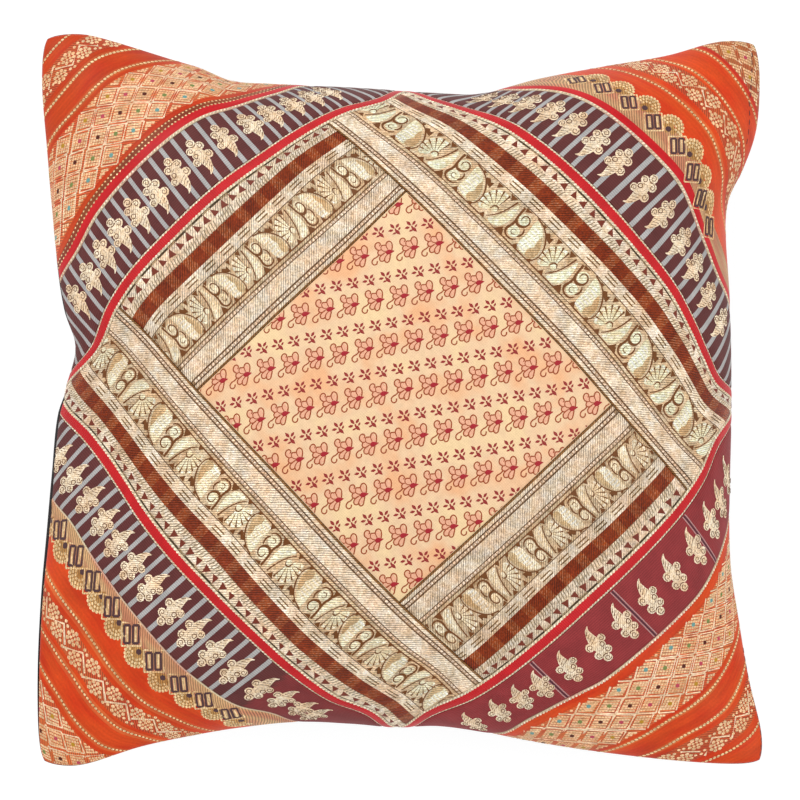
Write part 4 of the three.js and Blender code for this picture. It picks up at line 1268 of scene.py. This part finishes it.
# Along each wine strip, in mm aside: its gold sprigs from right to left, how far its stripes lean,
# beyond which place the stripes stop and its ground is redder, and its double lines. The stripes run
# under the sprigs and midway between them.
WINE_STRIPS = (
    {"sprigs": (-99, -81, -64, -48.5, -30, -11.5, 8, 24, 40, 54.5, 69, 82, 96), "lean": 1.5, "stop": 400,
     "redder": 0},
    {"sprigs": (-100, -88, -74.5, -60, -46.5, -29, -12, 4, 20, 34.7, 48.5, 62, 76, 91), "lean": 4.2,
     "stop": 400, "redder": 0},
    {"sprigs": (-112, -96, -80, -65, -51, -36, -21, -4, 12, 28, 44, 62, 76, 89, 98), "lean": 3,
     "stop": 60, "redder": 0.6},
    {"sprigs": (-106, -87, -71, -57, -39, -19, 0, 19.5, 39, 59, 77, 91, 106), "lean": 3, "stop": -400,
     "redder": 1, "double_lines": (66, 8.1, -51)},
)
# The stripes' half width as a share of their pitch
STRIPE_SHARE = 0.155
SPRIG_MIDDLE = 16.6
SCALLOP_PITCH = 1.9
RIBBON_EDGES = (0.6, RIBBON_WIDTH - 0.5)
RIBBON_STEP = 1.4


def gold_sprig():
    """A sprig of ringed lobes over a curved leaf, round its middle."""
    pale, shade = Figure(), Figure()
    lobes = ((-0.1, 8.9, 2.5), (-3.3, 5.2, 2.4), (2.8, 5.1, 2.5), (-5, -1.8, 2.3), (3.3, -1.4, 2.6),
             (-2.9, 1.2, 2), (-0.2, 2, 2.4))
    for x, y, radius in lobes:
        pale.dot(x, y, radius, sides=10)
    pale.patch([(-1.6, 6.6), (0.8, 6.8), (1.9, 4), (2.6, 1), (2.6, -2.8), (-0.6, -4), (-3.4, -2.6),
                (-1.6, 1), (-1.8, 3.4)], level=0.95)
    pale.stroke([(-0.4, -1.6, 5.4), (-0.7, -3.8, 5.4), (-1, -6, 4.4), (-1.5, -8.2, 3), (-2.3, -10, 1.6),
                 (-4, -11.4, 0.3)], level=0.95)
    for x, y, radius in lobes[:5]:
        turn = math.atan2(y + 1, x)
        shade.stroke([around(x, y, turn + further, share * radius) for share, further in (
            (0.15, 0), (0.42, 1.6), (0.5, 3.1), (0.52, 4.6), (0.6, 6), (0.8, 7.2))], 0.56)
    shade.stroke([(-3.9, 0.2), (-3.9, 1.8), (-2.6, 2.4), (-1.7, 1.2), (-2.8, 0)], 0.6, closed=True)
    shade.stroke([(-2.4, 3.2, 0.4), (-0.4, 3.8, 0.5), (0.8, 2.4, 0.5), (0.4, 0.4, 0.4)])
    shade.stroke([(-1.6, 7, 0.5), (-0.1, 6.3, 0.7), (1.3, 7, 0.5)])
    for k in range(4):
        y = -3 - 1.8 * k
        shade.stroke([(-3 + 0.45 * k, y - 1.2, 0.4), (1.5 - 0.5 * k, y + 0.7, 0.5)], smooth=False)
    return pale, shade


def stripe_places(mesh, strip):
    """Counts the stripes under each point of a wine strip, and says how wide they are there."""
    sprigs = np.array(strip["sprigs"], float)
    step = np.diff(sprigs).mean()
    known = np.concatenate([sprigs[0] - step * np.arange(4, 0, -1), sprigs,
                            sprigs[-1] + step * np.arange(1, 5)])
    place = np.zeros(len(mesh.vertices) * 3, np.float32)
    mesh.attributes["cloth_mm"].data.foreach_get("vector", place)
    aside, across, _ = place.reshape(-1, 3).T
    upright = aside + strip["lean"] * (across / SPRIG_WIDTH - 0.5)
    count = np.interp(upright, known, 2.0 * np.arange(len(known))) + 40
    wide = np.where(upright < strip["stop"], STRIPE_SHARE, -1)
    redder = np.where(upright < strip["stop"] + 6, 0, strip["redder"])
    stripes = mesh.attributes.new("stripes", "FLOAT_VECTOR", "POINT")
    stripes.data.foreach_set("vector", np.stack([count, wide, redder], -1).astype(np.float32).ravel())


class CUSHION_OT_ribbons(bpy.types.Operator):
    """Makes the four red ribbons with their scalloped edges."""

    bl_idname = "cushion.ribbons"
    bl_label = "Red ribbons"

    def execute(self, context):
        cover = the_cover(context)
        scallop = Figure().dot(0, 0, 0.92, 0.74, sides=6)
        cloth = red_ribbon(context.scene.cushion_colours.ribbon)
        edge = gilt_thread("Pale picot thread", linear("#f6e8cf"), 2.3, 0.1)
        for quarter, sewn in enumerate(QUARTERS):
            cut = Cut(cover, "ribbon", quarter)
            ribbon = cloth_slab(f"ribbon_cloth_{sewn['name']}", cut, cloth, RIBBON_STEP)
            sewing = Sewing(cut)
            for across in RIBBON_EDGES:
                sewing.lay(scallop, along_cut(cut, across, SCALLOP_PITCH), edge, 0.25, margin=0)
            sew_on(ribbon, f"red_ribbon_{sewn['name']}")
            sew_on(sewing.mesh(f"ribbon_scallops_{sewn['name']}"))
        return {"FINISHED"}


class CUSHION_OT_sprig_bands(bpy.types.Operator):
    """Makes the four wine silk strips with their gold sprigs."""

    bl_idname = "cushion.sprig_bands"
    bl_label = "Sprig bands"

    def execute(self, context):
        cover = the_cover(context)
        colours = context.scene.cushion_colours
        pale, shade = gold_sprig()
        gilt = gilt_thread("Sprig gilt thread", linear("#ffebcf"), 1.5, low=0.78)
        outline, pink, black = (silk_thread(name, linear(colour)) for name, colour in (
            ("Tan silk outline", "#6d4429"), ("Pink silk line", "#bd9592"), ("Black silk line", "#44303a")))
        thin, dark = Figure(), Figure()
        for figure, shift, width in ((thin, -1, 0.55), (thin, 1, 0.55), (dark, 0, 0.75)):
            figure.stroke([(shift, y, width) for y in range(-17, 18, 2)])
        for quarter, (sewn, strip) in enumerate(zip(QUARTERS, WINE_STRIPS)):
            cut = Cut(cover, "sprig", quarter)
            band = cloth_slab(f"sprig_cloth_{sewn['name']}", cut, wine_silk(colours))
            stripe_places(band.data, strip)
            spots = [(aside, SPRIG_MIDDLE) for aside in strip["sprigs"]]
            sewing = Sewing(cut).lay(pale, spots, gilt, 0.42).lay(shade, spots, outline, 0.5)
            middles = [(aside, SPRIG_WIDTH / 2) for aside in strip.get("double_lines", ())]
            sewing.lay(thin, middles, pink, 0.22).lay(dark, middles, black, 0.2)
            sprigs = sewing.mesh(f"sprigs_{sewn['name']}")
            sew_on(band, f"sprig_band_{sewn['name']}")
            sew_on(sprigs)
        return {"FINISHED"}


# Stripes of each corner, as rows of (mm out from the middle, cloth)
CORNER_ZONES = (
    ((170, "scallop"), (181.5, "ribbon"), (185.8, "ribs"), (198.8, "plain"), (212.8, "bright"),
     (216.4, "plain"), (219.6, "brocade"), (234.4, "plain"), (235.6, "bright"), (239, "plain"),
     (253, "bright"), (256.2, "red"), (258.6, "tip")),
    ((170, "scallop"), (180.9, "ribbon"), (185.4, "brown"), (188.5, "plain"), (191.4, "lattice"),
     (228.6, "plain"), (231.6, "bright"), (235.2, "plain"), (246.8, "bright"), (250, "plain"),
     (253.2, "brocade"), (267, "plain")),
    ((170, "scallop"), (183.5, "ribs"), (198.2, "plain"), (211, "bright"), (214.8, "plain"),
     (217.6, "brocade"), (230, "plain"), (232.6, "bright"), (236.8, "plain"), (247.6, "bright"),
     (251, "plain"), (253.8, "lattice")),
    ((170, "scallop"), (181.2, "plain"), (186.5, "lattice"), (222, "plain"), (224, "bright"),
     (227.4, "plain"), (239.4, "bright"), (242.6, "plain"), (245.6, "brocade"), (260.6, "plain")),
)
# How dark the plain silk of each corner is
ORANGE_SHARES = (1, 0.8, 0.95, 0.92)
# Chains of pale links: mm out from the middle, and the size of the links. Small ones stand apart.
CORNER_CHAINS = (
    {"outs": (214.5, 237.3, 254.7), "size": 0.85},
    {"outs": (233.4, 248.4, 274.6), "size": 1, "small": (185.6, 188.1)},
    {"outs": (212.8, 234.7, 249.3), "size": 0.85}, {"outs": (225.8, 241, 266), "size": 1})
CHAIN_PITCH = 2.4
SMALL_LINK = 0.58
# Along a corner, in mm aside, its small figures reach this far
CORNER_REACH = 104
# Lattices: the place of the first row of stars, how far each row leans, the stars' colours row by row,
# the limits of the stripe, and the step along a row. STAR_ROW is the step between rows. CELL_SHARE is
# how much of its room a cell's outline fills, PETAL_ROOM keeps petals inside the limits, and
# PETALS_ACROSS is how many a cell's side has room for.
STAR_COLOURS = ("#6fa09a", "#7d8a4c", "#5a2418", "#c2495a", "#bd8d2a")
LATTICES = (
    {"first": (-10.8, 265), "lean": 9.4, "stars": (4, 3, 2, 1), "limits": (258.6, 287), "step": 18.5},
    {"first": (5, 197.2), "lean": 8, "stars": (0, 1, 2, 3, 4), "limits": (191.4, 228.6), "step": 18},
    {"first": (5.2, 260.4), "lean": 9.4, "stars": (4, 3, 2, 1), "limits": (253.8, 287), "step": 18.5},
    {"first": (9.4, 190.6), "lean": 8.3, "stars": (0, 1, 2, 3, 4), "limits": (186.5, 222), "step": 18.6},
)
STAR_ROW = 6.5
CELL_SHARE = 0.9
PETAL_ROOM = 0.6
PETALS_ACROSS = 6.6
ZIGZAG_STEP = 18.5
# Where a peak of each corner's zigzag lies, as (aside, mm out)
ZIGZAGS = ((3.7, 226.9), (8.8, 260), (2.8, 223.8), (-2.1, 253.2))
# The ridge borders of two corners: their pairs of rectangles and the fans between, in mm aside
RIDGE_BORDERS = {
    0: {"pairs": (-58, -41, -25, -8, 10.5, 28, 45.5, 62), "fans": (-48, -32, -16.2, 2, 19.5, 37.5, 54),
        "out": 193.9, "size": 0.95},
    2: {"pairs": (-99, -81, -63, -46, -28.7, -10.8, 8.3, 27.6, 44.8, 63),
        "fans": (-90, -72, -54, -37, -20, -1.2, 18.4, 36.6, 55, 72), "out": 191.6, "size": 1.1},
}
FAN_RISE = 3.8
# Dark hand stitches on a corner, in straight runs between (aside, mm out)
STITCHED_LINES = {0: ((-3, 277), (-21, 253.5), (-40, 238)), 3: ((3, 281), (48, 233))}
STITCH_STEP = 4.4
# The corner whose scalloped edge is turned under, by its quarter
TURNED_UNDER = 2


def star_cell(lattice, low, high):
    """The outline of one cell of a lattice, between two heights. Its neighbours make it double."""
    lines = Figure()
    half, lean = lattice["step"] / 2 * CELL_SHARE, (lattice["step"] / 2 - lattice["lean"]) * CELL_SHARE
    ends = [(-half, 0), (lean, STAR_ROW * CELL_SHARE), (half, 0), (-lean, -STAR_ROW * CELL_SHARE)]
    for (x, y), (next_x, next_y) in zip(ends, ends[1:] + ends[:1]):
        heights = np.clip([y, next_y], low, high)
        if heights[0] != heights[1]:
            ends_x = x + (next_x - x) * (heights - y) / (next_y - y)
            lines.stroke([(ends_x[0], heights[0], 0.86), (ends_x[1], heights[1], 0.86)], smooth=False)
    return lines


def cell_petals(lattice):
    """Places of the small petals round a star, in mm, in rows along the cell's sides."""
    step, lean = lattice["step"] / PETALS_ACROSS, lattice["lean"] / PETALS_ACROSS
    return [(i * (step - lean) + j * lean, (i - j) * STAR_ROW / PETALS_ACROSS)
            for i in range(-2, 3) for j in range(-2, 3) if i or j]


def zigzag_repeat():
    """One repeat of a zigzag with a round flower of pearls over and under it, x from a peak."""
    pearls, branch = Figure(), Figure()
    for x, y in ((-1, -2.7), (9.3, 2.5)):
        for k in range(8):
            pearls.dot(*around(x, y, k * math.pi / 4, 3.7, 3), 1.3, 1.1, sides=6)
        for k in range(4):
            pearls.dot(*around(x, y, k * math.pi / 2 + 0.5, 1.5, 1.3), 0.95, 0.85, sides=6)
    for x, y in ((0.6, 5.4), (3.6, 4.2), (-2.4, 4.4), (8.2, -5.4), (5.6, -4.4), (11.8, -4.2)):
        pearls.dot(x, y, 1.05, 0.9, sides=6)
    branch.stroke([(0, 3.6, 1.2), (8, -3.4, 1.2), (ZIGZAG_STEP, 3.6, 1.2)], smooth=False)
    return pearls, branch


def rectangle_pair():
    """Two outlined rectangles side by side, slanting down to the right, with a pale bar in each."""
    navy, cream = Figure(), Figure()
    slant = math.sqrt(0.5)

    def turned(along, side):
        return ((side + along) * slant, (side - along) * slant)

    def box(figure, length, low, high, width):
        corners = [turned(-length, low), turned(length, low), turned(length, high), turned(-length, high)]
        for first, second in zip(corners, corners[1:] + corners[:1]):
            figure.stroke([(*first, width), (*second, width)], smooth=False)

    for shift in (-2.3, 2.3):
        box(navy, 4.2, shift - 1.5, shift + 1.5, 1.15)
        cream.stroke([(*turned(-3.5, shift), 1.2), (*turned(3.5, shift), 1.2)], smooth=False)
    box(cream, 5.5, -5.2, 5.2, 0.8)
    return navy, cream


def fan():
    """A half rosette of pearls over a navy drop, on its own gold ground."""
    pearls, navy, ground = Figure(), Figure(), Figure()
    arc = [around(0, 0.6, turn, 7.6, 7.4) for turn in np.linspace(0, math.pi, 11)]
    ground.patch([*arc, (-4, -2.6), (0, -4.4), (4, -2.6)], smooth=False, level=0.6)
    for reach, count, size in ((7, 11, 1.05), (5.1, 8, 0.9), (3.2, 5, 0.85)):
        for k in range(count):
            place = around(0, 0.6, math.pi * (k + 0.5) / count, reach)
            pearls.dot(*place, size, size * 0.9, sides=6)
    navy.dot(0, -0.9, 1.7, 1.6, sides=8)
    return pearls, navy, ground


def true_out(cut, aside, across):
    """Places as aside and the true distance out, so that woven stripes follow how the cloth wanders."""
    out = cut.out(aside, across)
    true = out
    for _ in range(3):
        true = out - bent(cut.quarter, aside, true)
    return np.stack([aside, true, np.zeros_like(aside)], -1)


def true_place(mesh, cut):
    """Gives a corner's cloth its true places to read."""
    place = np.zeros(len(mesh.vertices) * 3, np.float32)
    data = mesh.attributes["cloth_mm"].data
    data.foreach_get("vector", place)
    aside, across, _ = place.reshape(-1, 3).T.astype(float)
    data.foreach_set("vector", true_out(cut, aside, across).astype(np.float32).ravel())


def weave_lattice(sewing, lattice, threads, stars):
    """A lattice of double lines, with a star in each cell and rows of petals round it."""
    petal, star = Figure().dot(0, 0, 1.08, 0.86, sides=4), Figure().dot(0, 0, 1.45, 1.25, sides=6)
    low, high = lattice["limits"]
    along = np.arange(-6, 7) * lattice["step"]
    rows = len(lattice["stars"])
    for row in range(-1, rows + 1):
        aside = lattice["first"][0] + (row * lattice["lean"]) % lattice["step"] + along
        out = lattice["first"][1] + row * STAR_ROW
        for x, y in cell_petals(lattice):
            if low + PETAL_ROOM < out + y < high - PETAL_ROOM:
                sewing.weave(petal, aside - x, out + y, threads["peach"], 0.22)
        if 0 <= row < rows:
            sewing.weave(star_cell(lattice, low - out, high - out), aside, out, threads["pink"], 0.22)
            sewing.weave(star, aside, out, stars[lattice["stars"][row]], 0.28)


def weave_chains(sewing, chains, threads):
    """Chains of pale links with a brown gap between, and small ones without."""
    link, gap = Figure().dot(0, 0, 1.12, 0.86, sides=6), Figure().dot(0, 0, 0.6, 0.5, sides=4)
    along = np.arange(-CORNER_REACH, CORNER_REACH, CHAIN_PITCH)
    for out in chains["outs"]:
        sewing.weave(gap, along + CHAIN_PITCH / 2, out, threads["brown"], 0.16)
        sewing.weave(link, along, out, threads["cream"], 0.28, size=chains["size"])
    for out in chains.get("small", ()):
        sewing.weave(link, along, out, threads["cream"], 0.28, size=SMALL_LINK)


def weave_ridge_border(sewing, border, threads):
    """A row of fans, with pairs of rectangles over and between them."""
    pearls, drop, ground = fan()
    navy, cream = rectangle_pair()
    for figure, thread, relief in ((ground, "worn_and_glinting", 0.12), (pearls, "cream", 0.25), (drop, "navy", 0.28)):
        sewing.weave(figure, border["fans"], border["out"] + FAN_RISE, threads[thread], relief)
    for figure, thread, relief in ((navy, "navy", 0.34), (cream, "cream", 0.3)):
        sewing.weave(figure, border["pairs"], border["out"], threads[thread], relief, size=border["size"])


def sew_stitches(sewing, run, thread):
    """Hand stitches in straight runs between places."""
    stitch = Figure().stroke([(-1.4, 0, 0.6), (1.4, 0, 0.6)], smooth=False)
    run = np.array(run, float)
    for first, last in zip(run, run[1:]):
        count = int(np.hypot(*(last - first)) / STITCH_STEP)
        places = first + (last - first) * np.arange(count)[:, None] / count
        turn = math.degrees(math.atan2(*(last - first)[::-1]))
        sewing.weave(stitch, *places.T, thread, 0.3, -turn)


class CUSHION_OT_corner_panels(bpy.types.Operator):
    """Makes the four corner pieces of orange silk border."""

    bl_idname = "cushion.corner_panels"
    bl_label = "Corner panels"

    def execute(self, context):
        cover = the_cover(context)
        colours = context.scene.cushion_colours
        threads = {"cream": gilt_thread("Cream gilt thread", colours.cream, 2.2, 0.15, -1, 0.7),
                   "navy": silk_thread("Navy silk thread", colours.navy),
                   "picot": gilt_thread("Pale picot thread", linear("#f4e4cb"), 2.3, 0.1),
                   "brown": silk_thread("Brown silk thread", linear("#8f5a2e")),
                   "worn_and_glinting": gilt_thread("Worn gold thread", linear("#c39358"), 1.8, 0.2, -1),
                   "peach": gilt_thread("Peach gilt thread", linear("#ffd7aa"), 1.4, 0.1, -1, 0.72),
                   "pink": gilt_thread("Pale pink thread", linear("#ffe3c2"), 1.4, 0.1, -1, 0.8)}
        stars = [silk_thread(f"Star silk thread {number}", linear(colour))
                 for number, colour in enumerate(STAR_COLOURS)]
        pearls, branch = zigzag_repeat()
        scallop = Figure().dot(0, 0, 0.85, 0.55, sides=6)
        for quarter, sewn in enumerate(QUARTERS):
            cut = Cut(cover, "corner", quarter)
            corner = cloth_slab(f"corner_cloth_{sewn['name']}", cut,
                                orange_silk(colours, CORNER_ZONES[quarter], ORANGE_SHARES[quarter]))
            true_place(corner.data, cut)
            sewing = Sewing(cut)
            weave_lattice(sewing, LATTICES[quarter], threads, stars)
            peak, middle = ZIGZAGS[quarter]
            along = np.arange(-5, 6) * ZIGZAG_STEP + peak
            sewing.weave(pearls, along, middle, threads["peach"], 0.25)
            sewing.weave(branch, along, middle, threads["pink"], 0.28)
            weave_chains(sewing, CORNER_CHAINS[quarter], threads)
            if quarter in RIDGE_BORDERS:
                weave_ridge_border(sewing, RIDGE_BORDERS[quarter], threads)
            sew_stitches(sewing, STITCHED_LINES.get(quarter, ()), threads["navy"])
            if quarter != TURNED_UNDER:
                places = [(aside, 0.8) for aside in np.arange(-CORNER_REACH, CORNER_REACH, SCALLOP_PITCH)]
                sewing.lay(scallop, places, threads["picot"], 0.25, margin=0)
            woven = sewing.mesh(f"corner_figures_{sewn['name']}", partial(true_out, cut))
            sew_on(corner, f"corner_panel_{sewn['name']}")
            sew_on(woven)
        return {"FINISHED"}


# The camera looks straight down on the face. Its distance and lens give the photograph's frame.
CAMERA_HEIGHT = 2.058
VIEW_WIDTH = 0.4264
SENSOR = 36
FLOOR_SIDE = 14
# Each lamp's place and size in metres, and its power in watts
LAMPS = {"key": ((-1.4, 1.6, 2.6), 1.6, 46), "fill": ((1.6, -0.6, 2.4), 2.2, 26)}
BACKDROP_STRENGTH = 0.55


class CUSHION_OT_stage(bpy.types.Operator):
    """Sets the camera, the soft studio light and the pale floor."""

    bl_idname = "cushion.stage"
    bl_label = "Stage"

    def execute(self, context):
        scene = context.scene
        camera_data = bpy.data.cameras.new("camera")
        camera_data.sensor_width = SENSOR
        camera_data.lens = SENSOR * (CAMERA_HEIGHT - scene.cushion_sizes.seam_height) / VIEW_WIDTH
        camera = bpy.data.objects.new("camera", camera_data)
        camera.location = (0, 0, CAMERA_HEIGHT)
        scene.collection.objects.link(camera)
        scene.camera = camera

        side = FLOOR_SIDE / 2
        corners = np.array([(-side, -side, 0), (side, -side, 0), (side, side, 0), (-side, side, 0)])
        mesh_object("floor", corners, np.array([[0, 1, 2, 3]]), [light_table()])

        for name, (place, size, power) in LAMPS.items():
            lamp_data = bpy.data.lights.new(name, "AREA")
            lamp_data.size = size
            lamp_data.energy = power
            lamp = bpy.data.objects.new(name, lamp_data)
            lamp.location = place
            lamp.rotation_euler = (-lamp.location).to_track_quat("-Z", "Y").to_euler()
            scene.collection.objects.link(lamp)

        world = bpy.data.worlds.new("studio")
        world.use_nodes = True
        backdrop = world.node_tree.nodes["Background"]
        backdrop.inputs["Color"].default_value = linear("#ffffff")
        backdrop.inputs["Strength"].default_value = BACKDROP_STRENGTH
        scene.world = world
        scene.view_settings.view_transform = "Standard"
        return {"FINISHED"}


class CUSHION_PT_cover(bpy.types.Panel):
    """Lists the sizes and the pieces of the cushion cover."""

    bl_label = "Cushion Cover"
    bl_space_type = "VIEW_3D"
    bl_region_type = "UI"
    bl_category = "Cushion Cover"

    def draw(self, context):
        sizes = context.scene.cushion_sizes
        for name in CoverSizes.__annotations__:
            self.layout.prop(sizes, name)
        for name in CoverColours.__annotations__:
            self.layout.prop(context.scene.cushion_colours, name)
        for operator in OPERATORS:
            self.layout.operator(operator.bl_idname)


OPERATORS = (CUSHION_OT_stage, CUSHION_OT_body, CUSHION_OT_centre_panel, CUSHION_OT_gold_bands,
             CUSHION_OT_ribbons, CUSHION_OT_sprig_bands, CUSHION_OT_corner_panels)
CLASSES = (CoverSizes, CoverColours, *OPERATORS, CUSHION_PT_cover)


def register():
    for kind in CLASSES:
        bpy.utils.register_class(kind)
    bpy.types.Scene.cushion_sizes = PointerProperty(type=CoverSizes)
    bpy.types.Scene.cushion_colours = PointerProperty(type=CoverColours)


def unregister():
    del bpy.types.Scene.cushion_colours
    del bpy.types.Scene.cushion_sizes
    for kind in reversed(CLASSES):
        bpy.utils.unregister_class(kind)


def main():
    register()
    for operator in OPERATORS:
        group, name = operator.bl_idname.split(".")
        getattr(getattr(bpy.ops, group), name)()


if __name__ == "__main__":
    main()
